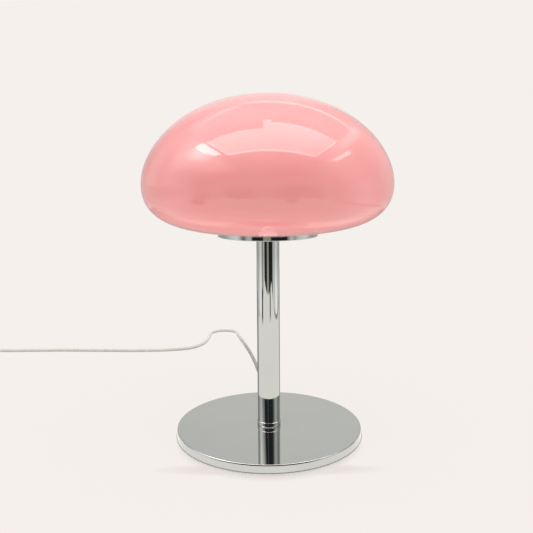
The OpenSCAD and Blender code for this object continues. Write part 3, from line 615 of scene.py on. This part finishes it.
lay = cord_d / 2
exit_y = gland_high[1]
switch_y = 0.300
split = 0.0085
run_points = [
    (0, exit_y, gland_z), (0, exit_y + cord_d, gland_z), (-0.002, 0.142, 0.003),
    (-0.006, 0.162, lay), (-0.013, 0.193, lay), (-0.018, 0.228, lay), (-0.025, 0.270, lay),
    (-0.033, 0.310, lay), (-0.042, 0.350, lay), (-0.0465, 0.370, lay), (-0.0492, 0.381, lay),
    (-0.0508, 0.391, lay), (-0.0527, 0.3993, lay), (-0.0575, 0.4063, lay),
    (-0.0646, 0.4113, lay), (-0.073, 0.413, lay), (-0.0814, 0.4113, lay),
    (-0.0885, 0.4063, lay), (-0.0933, 0.3993, lay), (-0.095, 0.391, lay),
    (-0.0952, 0.381, lay), (-0.096, 0.367, lay), (-0.098, 0.348, lay), (-0.104, 0.328, lay),
    (-0.116, 0.312, lay), (-0.133, 0.304, lay), (-0.162, 0.299, lay), (-0.210, 0.298, lay),
    (-0.260, 0.300, lay), (-0.310, 0.302, lay), (-0.355, 0.302, lay), (-0.390, 0.301, lay),
    (-0.408, 0.300, 0.0034), (-0.423, 0.300, 0.007), (-0.435, switch_y, split),
    (-0.443, switch_y, split)]
cord_run = lay_cord("cord_to_switch", run_points, shaded_pvc, ["cord_run"])

# From the switch the cord drops to the table, winds in to the middle of the coil, climbs one
# layer, winds out again on top and runs on to the plug.
plug_x, coil_y = -0.520, 0.215
turns, per_turn = 5, 24
coil_inner, coil_step = 0.0194, 0.0056
coil_low = lay + 0.0009
layer = cord_d + 0.0006
coil_x = plug_x + coil_inner + coil_step * turns / 2
coil_turn = np.arange(turns * per_turn + 1) / per_turn
climb = np.clip(2 * (coil_turn - turns / 2) + 0.5, 0, 1)
coil_radius = coil_inner + coil_step * np.abs(coil_turn - turns / 2)
coil = np.stack([
    coil_x - coil_radius * np.cos(2 * math.pi * coil_turn),
    coil_y - coil_radius * np.sin(2 * math.pi * coil_turn),
    coil_low + layer * climb ** 2 * (3 - 2 * climb)], -1)
link_points = [
    (-0.487, switch_y, split), (-0.498, switch_y, split), (-0.509, 0.297, 0.007),
    (-0.517, 0.289, 0.0054), (plug_x, 0.277, 0.0043), (plug_x, 0.262, 0.0036),
    (plug_x, 0.246, coil_low), (plug_x, 0.233, coil_low), (plug_x, coil_y + cord_d, coil_low)]
end_points = [
    (plug_x, coil_y - cord_d, coil_low + layer), (plug_x, coil_y - 2 * cord_d, coil_low + layer),
    (plug_x, 0.194, 0.007), (plug_x, 0.182, 0.0046), (plug_x, 0.170, 0.0032),
    (plug_x, 0.157, 0.0034), (plug_x, 0.145, 0.0054), (plug_x, 0.1348, 0.00685),
    (plug_x, 0.130, 0.00685)]
cord_end = lay_cord("cord_coil_to_plug", link_points + coil.tolist() + end_points, pvc,
                    ["cord_link", "cord_coil", "cord_end"])


# Coil tie
# A hook-and-loop strap round the turns of the coil, 8 mm wide. Its end lies back over
# itself on top.
def rectangle(length, width, radius, count=48):
    """Points round a rectangle with rounded corners, centred: count of them, at even angles,
    so that rings of any size are in step. In each quarter turn the first and the last
    quarter of the angle run along the sides, and the half between goes round the corner's
    arc at twice the pace."""
    angle = (np.arange(count) + 0.5) * 2 * math.pi / count
    quarter = np.floor(angle / (math.pi / 2))
    local = angle - quarter * math.pi / 2
    bend = np.clip((local - math.pi / 8) * 2, 0, math.pi / 2)
    odd = quarter % 2
    half_l = np.where(odd, width / 2, length / 2)
    half_w = np.where(odd, length / 2, width / 2)
    start = np.clip(local / (math.pi / 8), 0, 1)
    stop = np.clip((math.pi / 2 - local) / (math.pi / 8), 0, 1)
    x = (half_l - radius) * stop + radius * np.cos(bend)
    y = (half_w - radius) * start + radius * np.sin(bend)
    turn_cos, turn_sin = np.cos(quarter * math.pi / 2), np.sin(quarter * math.pi / 2)
    return np.stack([x * turn_cos - y * turn_sin, x * turn_sin + y * turn_cos], -1)


def swept(path, section, middle):
    """Grid of a flat outline carried along a path in the XZ plane. Each ring stands square to
    the path: the outline's first measure runs along Y from middle, its second to the left."""
    run = np.gradient(path, axis=0)
    run /= np.linalg.norm(run, axis=1)[:, None]
    aside = np.stack([-run[:, 1], run[:, 0]], -1)
    flat = path[:, None] + section[None, :, 1:] * aside[:, None]
    sideways = np.broadcast_to(section[None, :, 0] + middle, flat.shape[:2])
    return np.stack([flat[..., 0], sideways, flat[..., 1]], -1)


tie_low, tie_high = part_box("coil_tie")
strap_t, strap_edge = 0.0007, 0.0002
strap_w = tie_high[1] - tie_low[1]
strap_y = (tie_low[1] + tie_high[1]) / 2
near_x, far_x = tie_low[0] + strap_t / 2, tie_high[0] - strap_t / 2
strap_foot, strap_top = strap_t / 2, tie_high[2] - strap_t / 2
round_near, round_far = 0.0050, 0.00305
lap_z = strap_top + (strap_t + 0.00005)
strap_start = near_x + round_near + 0.0016
loop = rounded([(strap_start, strap_top), (far_x, strap_top), (far_x, strap_foot),
                (near_x, strap_foot), (near_x, strap_top)],
               [0, round_far, round_far, round_near, round_near], steps=8)
lap = np.array([(strap_start - 0.0002, lap_z), (strap_start + 0.0003, lap_z),
                (far_x - round_far - 0.001, lap_z), (far_x - round_far, lap_z)])
strap_grid = swept(np.vstack([loop, lap]), rectangle(strap_w, strap_t, strap_edge, 16),
                   strap_y)

# Hook-and-loop tape, woven: a fuzzy pale grey without shine, with fine ribs across it. The
# wave's scale puts the ribs 0.9 mm apart.
cloth, tree = material("hook_and_loop_tape")
weave = node(tree, "TexWave", {
    "Vector": node(tree, "TexCoord").outputs["Object"], "Scale": 350.0, "Distortion": 1.5,
    "Detail": 2.0}, wave_type="BANDS", bands_direction="Y")
cover(tree, Base_Color=speckle(tree, 0.0012, "#C9C7C1", "#DDDBD6"), Roughness=0.85,
      Normal=node(tree, "Bump", {"Height": weave, "Distance": 0.0002}))
tie = piece("coil_tie_strap", strap_grid, "stand", cloth, ["coil_tie"], ends=True)


# Switch
# An in-line rocker switch in white plastic: two moulded shells screwed together from
# below, with a window in the upper one for the rocker. A fine groove shows where they meet.
def stacked(rings, middle, count=48):
    """Grid of rounded rectangles, one for each (height, length, width, corner radius)."""
    grid = []
    for height, length, width, radius in rings:
        flat = rectangle(length, width, radius, count) + middle[:2]
        grid.append(np.column_stack([flat, np.full(count, height)]))
    return np.array(grid)


base_box, cover_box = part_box("switch_base"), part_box("switch_cover")
switch_mid = np.array([(base_box[0][i] + base_box[1][i]) / 2 for i in range(2)])
switch_l, switch_w = base_box[1][0] - base_box[0][0], base_box[1][1] - base_box[0][1]
switch_h = cover_box[1][2]
shell_wall, groove = 0.0016, 0.0002
corner_r, edge_r = 0.005, 0.0028
round_off = np.linspace(0, math.pi / 2, 7)
edge_in = edge_r * (1 - np.cos(round_off))
edge_up = edge_r * np.sin(round_off)
window_size, window_soft = (0.0228, 0.0120, 0.0006), 0.0003
inner_flat_r, inner_side_r, inner_seam_r = 0.0022, 0.003, 0.0034


def shell(flat_z, window=None):
    """Rings of one shell: from the seam up or down the wall, round the edge, in to the
    window or the middle, and back along the inside. flat_z is the height of its flat."""
    up = 1 if flat_z > split else -1
    rings = [(split, switch_l - 2 * groove, switch_w - 2 * groove, corner_r - groove),
             (split + up * groove, switch_l, switch_w, corner_r)]
    rings += [(flat_z - up * (edge_r - rise), switch_l - 2 * inset, switch_w - 2 * inset,
               corner_r - inset) for rise, inset in zip(edge_up, edge_in)]
    if window:
        length, width, radius = window
        rings += [(flat_z, length + 2 * window_soft, width + 2 * window_soft,
                   radius + window_soft),
                  (flat_z - up * window_soft, length, width, radius),
                  (flat_z - up * shell_wall, length, width, radius)]
    else:
        rings += [(flat_z, 0, 0, 0), (flat_z - up * shell_wall, 0, 0, 0)]
    inner = (switch_l - 2 * shell_wall, switch_w - 2 * shell_wall)
    rings += [(flat_z - up * shell_wall, switch_l - 2 * edge_r, switch_w - 2 * edge_r,
               inner_flat_r),
              (flat_z - up * edge_r, *inner, inner_side_r), (split, *inner, inner_seam_r)]
    return stacked(rings, switch_mid)


# ABS, moulded in a polished tool: bright white with a smooth gloss.
white = finish("gloss_moulded_abs", (0.01, "#E6E5E1", "#ECEBE8"), (0.0012, 0.00001),
               Roughness=0.26)
upper_shell = piece("switch_upper_shell", shell(switch_h, window_size), "stand",
                    white, ["switch_cover"])
lower_shell = piece("switch_lower_shell", shell(0), "stand", white,
                    ["switch_base"])


# Rocker
# Moulded in the same plastic, it turns on a steel pin. Its top is hollow, with three grooves
# across each end for the finger. At rest it is pressed down at its right end.
pin_low, pin_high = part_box("rocker_pin")
pivot = [(a + b) / 2 for a, b in zip(pin_low, pin_high)]
rocker_half, rocker_w = 0.0104, 0.0114
rocker_rest = math.radians(7)
blunt, rocker_corner = 0.0005, 0.0005
boss, boss_z, foot_z = 0.0026, -0.002, 0.0012
hollow_z, hollow_rise = 0.0037, 0.0011
grooves, finger_from, finger_pitch, finger_deep = 3, 0.0060, 0.00115, 0.00025
nose = blunt * (1 - np.cos(np.linspace(0, math.pi / 2, 6)))
half_way = np.hstack([nose, np.linspace(blunt, rocker_half, 60)[1:]])
rocker_x = np.hstack([half_way - rocker_half, rocker_half - half_way[-2::-1]])
out = np.abs(rocker_x)
from_end = rocker_half - out

# Both ends are rounded by a quarter circle. The top rises from the hollow as the square of
# the way out, less the grooves' cosine waves, and the underside evenly from the boss.
inset = blunt - np.sqrt(blunt ** 2 - np.clip(blunt - from_end, 0, blunt) ** 2)
turns_in = (out - finger_from) / finger_pitch
fingers = np.where((turns_in > 0) & (turns_in < grooves),
                   0.5 - 0.5 * np.cos(2 * math.pi * turns_in), 0)
rocker_top = hollow_z + hollow_rise * (out / rocker_half) ** 2 - finger_deep * fingers - inset
past_boss = np.clip((out - boss) / (rocker_half - boss), 0, 1)
rocker_foot = boss_z + (foot_z - boss_z) * past_boss + inset
rocker_places = 32
rocker_rings = []
for x, low, high, shrink in zip(rocker_x, rocker_foot, rocker_top, inset):
    ring = rectangle(rocker_w - 2 * shrink, high - low, rocker_corner, rocker_places)
    ring = ring + (0, (low + high) / 2)
    rocker_rings.append(np.column_stack([np.full(rocker_places, x), ring]))
rocker_rings = np.array(rocker_rings)
level_x, level_z = rocker_rings[..., 0], rocker_rings[..., 2]
tilted = np.stack([
    level_x * math.cos(rocker_rest) + level_z * math.sin(rocker_rest), rocker_rings[..., 1],
    level_z * math.cos(rocker_rest) - level_x * math.sin(rocker_rest)], -1) + pivot
rocker = piece("switch_rocker_moulded", tilted, "rocker", white,
               ["switch_rocker"], ends=True)


# Plug
# A flat two-pin plug in soft white PVC, moulded onto the cord, with grip ribs. The nickel
# pins have bare tips and grey sleeves.
plug_low, plug_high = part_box("plug_body")
plug_z = (plug_low[2] + plug_high[2]) / 2
plug_w, plug_t = plug_high[0] - plug_low[0], plug_high[2] - plug_low[2]
plug_face, plug_neck = plug_low[1], plug_high[1]
neck_w, neck_t = 0.0092, 0.0088
grips, grip_deep, end_round = 18, 0.0007, 0.0012

# Where along the plug, as shares of its length, each change begins and how long it goes on,
# where the grips begin and end, and how much of each end is rounded.
narrow_from, narrow_over, thin_from, thin_over = 0.14, 0.72, 0.45, 0.5
grip_from, grip_to, end_share, corner_share = 0.30, 0.80, 0.03, 0.42

# The width eases from the body's to the neck's by 3 s^2 - 2 s^3, and the thickness by s^2.
# The grips are cosine waves along the body, and both ends are rounded by a parabola.
plug_at = np.linspace(0, 1, 60)
ease = np.clip((plug_at - narrow_from) / narrow_over, 0, 1)
ease = ease * ease * (3 - 2 * ease)
wide = plug_w + (neck_w - plug_w) * ease
thick = plug_t + (neck_t - plug_t) * np.clip((plug_at - thin_from) / thin_over, 0, 1) ** 2
grip = np.where((plug_at > grip_from) & (plug_at < grip_to),
                0.5 - 0.5 * np.cos(2 * math.pi * plug_at * grips), 0)
past_end = np.maximum(1 - plug_at / end_share, 1 - (1 - plug_at) / end_share)
lead_in = end_round * np.clip(past_end, 0, 1) ** 2
plug_places = 48
plug_rings = []
for at, w, t, g in zip(plug_at, wide - 2 * lead_in, thick - 2 * lead_in, grip * grip_deep):
    ring = rectangle(w - g, t - g, corner_share * min(w, t), plug_places)
    ring_y = np.full(plug_places, plug_face + at * (plug_neck - plug_face))
    plug_rings.append(np.column_stack([ring[:, 0] + plug_x, ring_y, ring[:, 1] + plug_z]))
plug = piece("plug_body_moulded", np.array(plug_rings), "stand", pvc,
             ["plug_body"], ends=True)

pins_low, pins_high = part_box("plug_pins")
pin_r, shank_r, bare = 0.002, 0.0015, 0.0095
pin_tip, pin_in = pins_low[1], pins_high[1]
pin_nose = np.linspace(0, math.pi / 2, 10)
pin_profile = np.vstack([
    np.stack([pin_r * np.sin(pin_nose), pin_tip + pin_r * 0.8 * (1 - np.cos(pin_nose))], -1),
    [(pin_r, pin_tip + bare), (shank_r, pin_tip + bare), (shank_r, pin_in), (0, pin_in)]])
pin_x = [pins_low[0] + pin_r, pins_high[0] - pin_r]
pins = piece("plug_pins_nickel", [along_y(turned(pin_profile, 48), x, plug_z) for x in pin_x],
             "stand", nickel, ["plug_pins"])

# Sleeve plastic, moulded on the pins: plain dark grey, half matt.
pin_sleeve = finish("grey_pin_sleeve", (0.002, "#4A4A4B", "#555556"), Roughness=0.5)
dress(pin_sleeve, "plug_sleeves")


# Table and floor
# A white table top in a pale studio, as one flat sheet. The camera sees a single pale colour
# with the lamp's shadow. What is polished sees the table end at its edges, and beyond it
# the studio round the lamp.
def between(tree, value, low, high, soft):
    """1 where a value lies between low and high, 0 outside, blended over soft at each end."""
    rise = node(tree, "MapRange", {"Value": value, "From Min": low - soft,
                                   "From Max": low + soft})
    fall = node(tree, "MapRange", {"Value": value, "From Min": high + soft,
                                   "From Max": high - soft})
    return node(tree, "Math", [rise, fall], operation="MULTIPLY")


def patch(tree, *sides):
    """1 where every value lies between its limits: a side is (value, low, high, soft), or a
    share that is known already."""
    shares = [between(tree, *side) if isinstance(side, tuple) else side for side in sides]
    share = shares[0]
    for other in shares[1:]:
        share = node(tree, "Math", [share, other], operation="MULTIPLY")
    return share


def azimuth(tree, vector):
    """Direction round the lamp of a vector, in degrees: 0 towards -Y, 90 towards +X."""
    east, north, _ = node(tree, "SeparateXYZ", [vector]).outputs
    south = node(tree, "Math", [north, -1.0], operation="MULTIPLY")
    angle = node(tree, "Math", [east, south], operation="ARCTAN2")
    return node(tree, "Math", [angle], operation="DEGREES")


def around(tree, angle, stops):
    """Colour at an azimuth, from a list of azimuths and colours with even blends between."""
    share = node(tree, "MapRange", {"Value": angle, "From Min": -180.0, "From Max": 180.0})
    ramp = node(tree, "ValToRGB", [share])
    marks = ramp.color_ramp.elements
    for place, (degrees, code) in enumerate(stops):
        at = degrees / 360 + 0.5
        mark = marks[0] if place == 0 else marks[-1] if degrees == 180 else marks.new(at)
        mark.position = at
        mark.color = linear(code)
    return ramp


# Colours that stand on the ground round the lamp, by azimuth: a dark bay behind the camera,
# with a light gap in its middle, and lit walls at both sides.
around_low = [
    (-180, "#BBBDBA"), (-112, "#BBBDBA"), (-104, "#CECFCC"), (-84, "#F3F4F0"),
    (-74, "#FFFFFC"), (-66, "#E0E1DE"), (-60, "#A0A2A1"), (-54, "#7C7E80"), (-50, "#B3B5B3"),
    (-44, "#D8DAD6"), (-37, "#CBCDCA"), (-34, "#24282C"), (-11, "#24282C"), (-9, "#ABA894"),
    (5, "#ABA894"), (8, "#24282C"), (42, "#24282C"), (47, "#AAABA9"), (54, "#E6E7E3"),
    (62, "#B3B5B3"), (70, "#E6E7E3"), (91, "#FFFFFC"), (101, "#E6E7E3"), (111, "#C3C4C1"),
    (180, "#BBBDBA")]

paper = "#F5F0EC"
table_left, table_right, table_front, table_back, table_soft = -0.55, 0.50, -0.74, 1.0, 0.004
floor_finish, tree = material("pale_table_and_floor")
rays = node(tree, "LightPath").outputs
spot = node(tree, "TexCoord").outputs["Object"]
spot_x, spot_y, _ = node(tree, "SeparateXYZ", [spot]).outputs
reach = node(tree, "VectorMath", [spot], operation="LENGTH")
bearing = azimuth(tree, spot)

# Mirrored, one over the other: the ground round the table, a grey kerb at both its sides, the
# white table with its greyer part behind the lamp, and two dark patches, one in front to the
# left and one in front to the right. The table covers the left kerb but for a thin line past
# its soft edge, which the stem mirrors.
aside = node(tree, "Math", [spot_x], operation="ABSOLUTE")
kerb = patch(tree, (aside, 0.51, 0.55, 0.006), (spot_y, -0.3, 0.4, 0.1))
shifted = node(tree, "Math", [bearing, 7.0], operation="SUBTRACT")
from_front = node(tree, "Math", [shifted], operation="ABSOLUTE")
behind = between(tree, from_front, 127, 400, 12)
table_top = node(tree, "Mix", {"Factor": behind, "A": "#FFFEF6", "B": "#8E8F8A"},
                 data_type="RGBA")
on_table = patch(tree, (spot_x, table_left, table_right, table_soft),
                 (spot_y, table_front, table_back, table_soft))
left_mark = patch(tree, (bearing, -66, -53, 2.5), (reach, 0.50, 0.80, 0.03))
right_mark = patch(tree, (bearing, 15.5, 24, 1.5), (reach, 0.52, 0.90, 0.03))
marks = node(tree, "Math", [left_mark, right_mark], operation="MAXIMUM")
mirrored = around(tree, bearing, around_low)
for share, colour in ((kerb, "#8A8C8C"), (on_table, table_top), (marks, "#3A3D40")):
    mirrored = node(tree, "Mix", {"Factor": share, "A": mirrored, "B": colour},
                    data_type="RGBA")
seen = node(tree, "Mix", {"Factor": rays["Is Glossy Ray"], "A": paper, "B": mirrored},
            data_type="RGBA")

# What is mirrored is a little brighter than its colour: the table evenly, and the ground
# beyond its sides less and less with the distance.
side_glow = node(tree, "MapRange", {"Value": reach, "From Min": 0.75, "From Max": 1.3,
                                    "To Min": 0.4, "To Max": 0.0})
extra = node(tree, "Mix", {"Factor": on_table, "A": side_glow, "B": 0.12})
strength = node(tree, "Math", [extra, rays["Is Glossy Ray"], 1.0], operation="MULTIPLY_ADD")
glow = node(tree, "Emission", {"Color": seen, "Strength": strength})

# The camera's floor glows in the paper's colour. It gives way to a matt floor, darker than
# the paper, with its real shade, under the base, in a disc moved a little to the front, and in a
# wide, thin pool just under the front rim. The disc and the pool are painted shadow as well
# as real shade.
disc_ahead, pool_ahead, pool_flat = 0.016, base_r - 0.009, 8.0
matt = node(tree, "BsdfDiffuse", {"Color": "#DCD8D5"})
covered = node(tree, "Math", [reach, base_r + 0.001], operation="LESS_THAN")
ahead = node(tree, "VectorMath", [spot, (0.0, disc_ahead, 0.0)], operation="ADD")
cast = node(tree, "VectorMath", [ahead], operation="LENGTH")
# The disc moved to the front of the base is a painted shadow.
painted_shadow_disc = node(tree, "MapRange", {"Value": cast, "From Min": base_r - disc_ahead,
                               "From Max": base_r, "To Min": 0.9, "To Max": 0.05})
far = node(tree, "MapRange", {"Value": reach, "From Min": 0.13, "From Max": 0.5,
                              "To Min": 1.0, "To Max": 0.0})
shadow = node(tree, "Math", [painted_shadow_disc, far], operation="MULTIPLY")
shadow = node(tree, "Math", [shadow, covered], operation="MAXIMUM")
in_front = node(tree, "VectorMath", [spot, (0.0, pool_ahead, 0.0)], operation="ADD")
squeezed = node(tree, "VectorMath", [in_front, (1.0, pool_flat, 1.0)], operation="MULTIPLY")
from_pool = node(tree, "VectorMath", [squeezed], operation="LENGTH")
# The wide, thin pool under the front rim is a painted shadow.
painted_shadow_pool = node(tree, "MapRange", {"Value": from_pool, "From Min": 0.075, "From Max": 0.120,
                               "To Min": 0.5, "To Max": 0.0})
shadow = node(tree, "Math", [shadow, painted_shadow_pool], operation="MAXIMUM")
lit = node(tree, "MixShader", [shadow, glow, matt])
bounce = node(tree, "BsdfDiffuse", {"Color": "#D6D2CF"})
plain = node(tree, "MixShader", [rays["Is Diffuse Ray"], lit, bounce])
shiny = node(tree, "MixShader", [rays["Is Glossy Ray"], plain, glow])
node(tree, "OutputMaterial", {"Surface": shiny})

half_floor = 30
floor_corners = [(-half_floor, -half_floor, 0), (half_floor, -half_floor, 0),
                 (half_floor, half_floor, 0), (-half_floor, half_floor, 0)]
floor_mesh = bpy.data.meshes.new("floor")
floor_mesh.from_pydata(floor_corners, [], [(0, 1, 2, 3)])
floor_mesh.materials.append(floor_finish)
floor = bpy.data.objects.new("floor", floor_mesh)
bpy.context.scene.collection.objects.link(floor)


# Studio
# Pale walls and a ceiling with a softbox, all in the world shader. Only what is polished
# sees them. The camera sees the paper's colour, and matt surfaces get an even white light.

# The walls above the ground, by azimuth: the dark bay again, and greyer walls than below.
around_high = [
    (-180, "#E4E4E0"), (-165, "#DEDFDB"), (-154, "#B3B5B3"), (-143, "#949695"),
    (-128, "#AEAFAD"), (-108, "#AAABA9"), (-98, "#CECFCC"), (-72, "#C6C8C6"),
    (-66, "#8A8C8D"), (-46, "#7C7E80"), (-38, "#33373B"), (-15, "#33373B"), (-8, "#6A6D6C"),
    (-1, "#33373B"), (34, "#33373B"), (46, "#5F6265"), (58, "#BBBDBA"), (68, "#EBEBE8"),
    (88, "#E0E1DE"), (98, "#BBBDBA"), (112, "#A0A2A1"), (125, "#BBBDBA"), (142, "#C6C7C4"),
    (152, "#BBBDBA"), (164, "#BBBDBA"), (171, "#E3E4E0"), (180, "#E4E4E0")]
world = bpy.data.worlds.new("studio")
world.use_nodes = True
bpy.context.scene.world = world
tree = world.node_tree
tree.nodes.clear()
rays = node(tree, "LightPath").outputs
ray_way = node(tree, "TexCoord").outputs["Generated"]
ray_x, ray_y, ray_z = node(tree, "SeparateXYZ", [ray_way]).outputs
upward = node(tree, "Math", [ray_z, 0.0], operation="GREATER_THAN")
angle = azimuth(tree, ray_way)
arcsine = node(tree, "Math", [ray_z], operation="ARCSINE")
lift = node(tree, "Math", [arcsine], operation="DEGREES")
flat_x = node(tree, "Math", [ray_x, ray_z], operation="DIVIDE")
flat_y = node(tree, "Math", [ray_y, ray_z], operation="DIVIDE")

# What stands on the ground, one over the other with the walls above it, the lighter foot of
# the dark bay, and the ceiling, which is duller on the right. Places overhead are told on a
# level ceiling one unit above the lamp, as flat_x and flat_y.
above_ground = between(tree, lift, 5, 100, 4)
bay_foot = patch(tree, (lift, 4, 16, 1.5), (angle, -60, 60, 8))
dim = node(tree, "MapRange", {"Value": ray_x, "From Min": -0.5, "From Max": 0.3})
ceiling = node(tree, "Mix", {"Factor": dim, "A": "#E8E8E5", "B": "#CACBC9"},
               data_type="RGBA")
overhead = patch(tree, upward, (flat_x, -0.80, 0.85, 0.03), (flat_y, -9, 1.0, 0.03),
                 (flat_y, -1.05, 9, 0.4))
walls = around(tree, angle, around_high)
room = around(tree, angle, around_low)
for share, colour in ((above_ground, walls), (bay_foot, "#A3A5A4"), (overhead, ceiling)):
    room = node(tree, "Mix", {"Factor": share, "A": room, "B": colour}, data_type="RGBA")

# Some edges overhead run aslant: they are told by one measure with a share of the other.
slant = node(tree, "Math", [flat_y, 0.18, flat_x], operation="MULTIPLY_ADD")
square = node(tree, "Math", [flat_y, -0.083, flat_x], operation="MULTIPLY_ADD")
skew = node(tree, "Math", [flat_y, 0.4, flat_x], operation="MULTIPLY_ADD")
lean = node(tree, "Math", [flat_x, -0.5, flat_y], operation="MULTIPLY_ADD")
right_half = node(tree, "Math", [flat_x, 0.0], operation="GREATER_THAN")
stepped = node(tree, "Math", [right_half, -0.155, flat_y], operation="MULTIPLY_ADD")

# The softbox: deeper in its right half, with a clip at the step, bright borders, and a face
# that is brighter to the back and falls off to the right.
box = patch(tree, upward, (slant, -0.722, 9, 0.010), (square, -9, 0.852, 0.010),
            (flat_y, -0.575, 9, 0.015), (stepped, -9, 0.035, 0.010))
clip = patch(tree, upward, (flat_x, -0.035, 0.035, 0.010), (flat_y, 0.0, 0.25, 0.03))
box = node(tree, "Math", [box, clip], operation="MAXIMUM")
core = patch(tree, upward, (slant, -0.690, 9, 0.008), (square, -9, 0.825, 0.008),
             (flat_y, -0.52, 9, 0.015))
inner = node(tree, "Math", [box, core], operation="MULTIPLY")
border = node(tree, "Math", [box, inner], operation="SUBTRACT")
box_level = node(tree, "Math", [flat_y, 0.7, 2.45], operation="MULTIPLY_ADD")
box_level = node(tree, "Math", [flat_x, -0.3, box_level], operation="MULTIPLY_ADD")
past_middle = node(tree, "Math", [flat_x, 0.45], operation="SUBTRACT")
right_end = node(tree, "Math", [past_middle, 0.0], operation="MAXIMUM")
box_level = node(tree, "Math", [right_end, -3.0, box_level], operation="MULTIPLY_ADD")

# Round it: its glow on the ceiling and a lit wall, which only brighten what is there, and
# then, in white, a haze, a small lamp with its glow on the left, a streak on the right, and
# lines where walls and ceiling meet. Each has a level that is added to the room's.
halo = patch(tree, upward, (flat_x, -1.0, 1.1, 0.3), (flat_y, -0.7, 0.6, 0.2))
left_wall = patch(tree, upward, (angle, -135, -80, 8), (lift, -5, 40, 4))
left_haze = patch(tree, upward, (flat_x, -2.1, 9, 0.8), (flat_x, -9, -0.80, 0.12),
                  (flat_y, -1.4, 9, 0.5), (flat_y, -9, 0.45, 0.25))
spotlight = patch(tree, upward, (skew, -1.04, 9, 0.03), (flat_x, -0.985, 9, 0.03),
                  (slant, -9, -0.775, 0.012), (flat_y, -0.47, 0.10, 0.03))
left_glow = patch(tree, upward, (flat_x, -1.32, -0.85, 0.2), (flat_y, -0.42, 0.06, 0.16))
streak = patch(tree, upward, (flat_x, 1.20, 1.36, 0.035), (flat_y, -0.48, 0.24, 0.08))
right_wall = patch(tree, upward, (flat_x, 0.88, 1.12, 0.05), (flat_y, 0.0, 1.4, 0.25))
back_wall = patch(tree, upward, (flat_y, 0.98, 1.12, 0.04), (flat_x, -0.15, 0.90, 0.12))
back_left = patch(tree, upward, (lean, 0.93, 1.08, 0.05), (flat_x, -0.65, -0.22, 0.05))
level, bright = 1.0, 0.0
for share, added in ((halo, 0.7), (left_wall, 0.6)):
    level = node(tree, "Math", [share, added, level], operation="MULTIPLY_ADD")
for share, added in ((left_haze, 1.0), (box, box_level), (border, 2.6), (spotlight, 6.3),
                     (left_glow, 3.8), (streak, 3.2), (right_wall, 0.5), (back_wall, 0.7),
                     (back_left, 0.5)):
    level = node(tree, "Math", [share, added, level], operation="MULTIPLY_ADD")
    bright = node(tree, "Math", [bright, share], operation="MAXIMUM")
room = node(tree, "Mix", {"Factor": bright, "A": room, "B": "#FFFEFA"}, data_type="RGBA")

# Matt surfaces get an even light, about half as much of it from the camera's side.
fill = node(tree, "MapRange", {"Value": ray_y, "From Min": -1.0, "From Max": 0.1,
                               "To Min": 0.5, "To Max": 0.94})
even = node(tree, "Background", {"Color": "#F4F4F2", "Strength": fill})
polished = node(tree, "Background", {"Color": room, "Strength": level})
flat = node(tree, "Background", {"Color": paper, "Strength": 1.0})
light = node(tree, "MixShader", [rays["Is Glossy Ray"], even, polished])
straight = node(tree, "Math", [rays["Is Camera Ray"], rays["Is Transmission Ray"]],
                operation="MAXIMUM")
sky = node(tree, "MixShader", [straight, light, flat])
node(tree, "OutputWorld", {"Surface": sky})


# Overhead light
# A wide soft lamp above the shade and a little in front of it. Neither the camera nor what
# is polished sees it, because the softbox in the world stands for it there.
lamp = bpy.data.lights.new("overhead_light", "AREA")
lamp.shape = "RECTANGLE"
lamp.size, lamp.size_y = 2.0, 1.0
lamp.energy = 14.5
lamp_place = bpy.data.objects.new("overhead_light", lamp)
lamp_place.location = (0.1, -0.23, 1.55)
lamp_place.visible_glossy = False
lamp_place.visible_camera = False
bpy.context.scene.collection.objects.link(lamp_place)
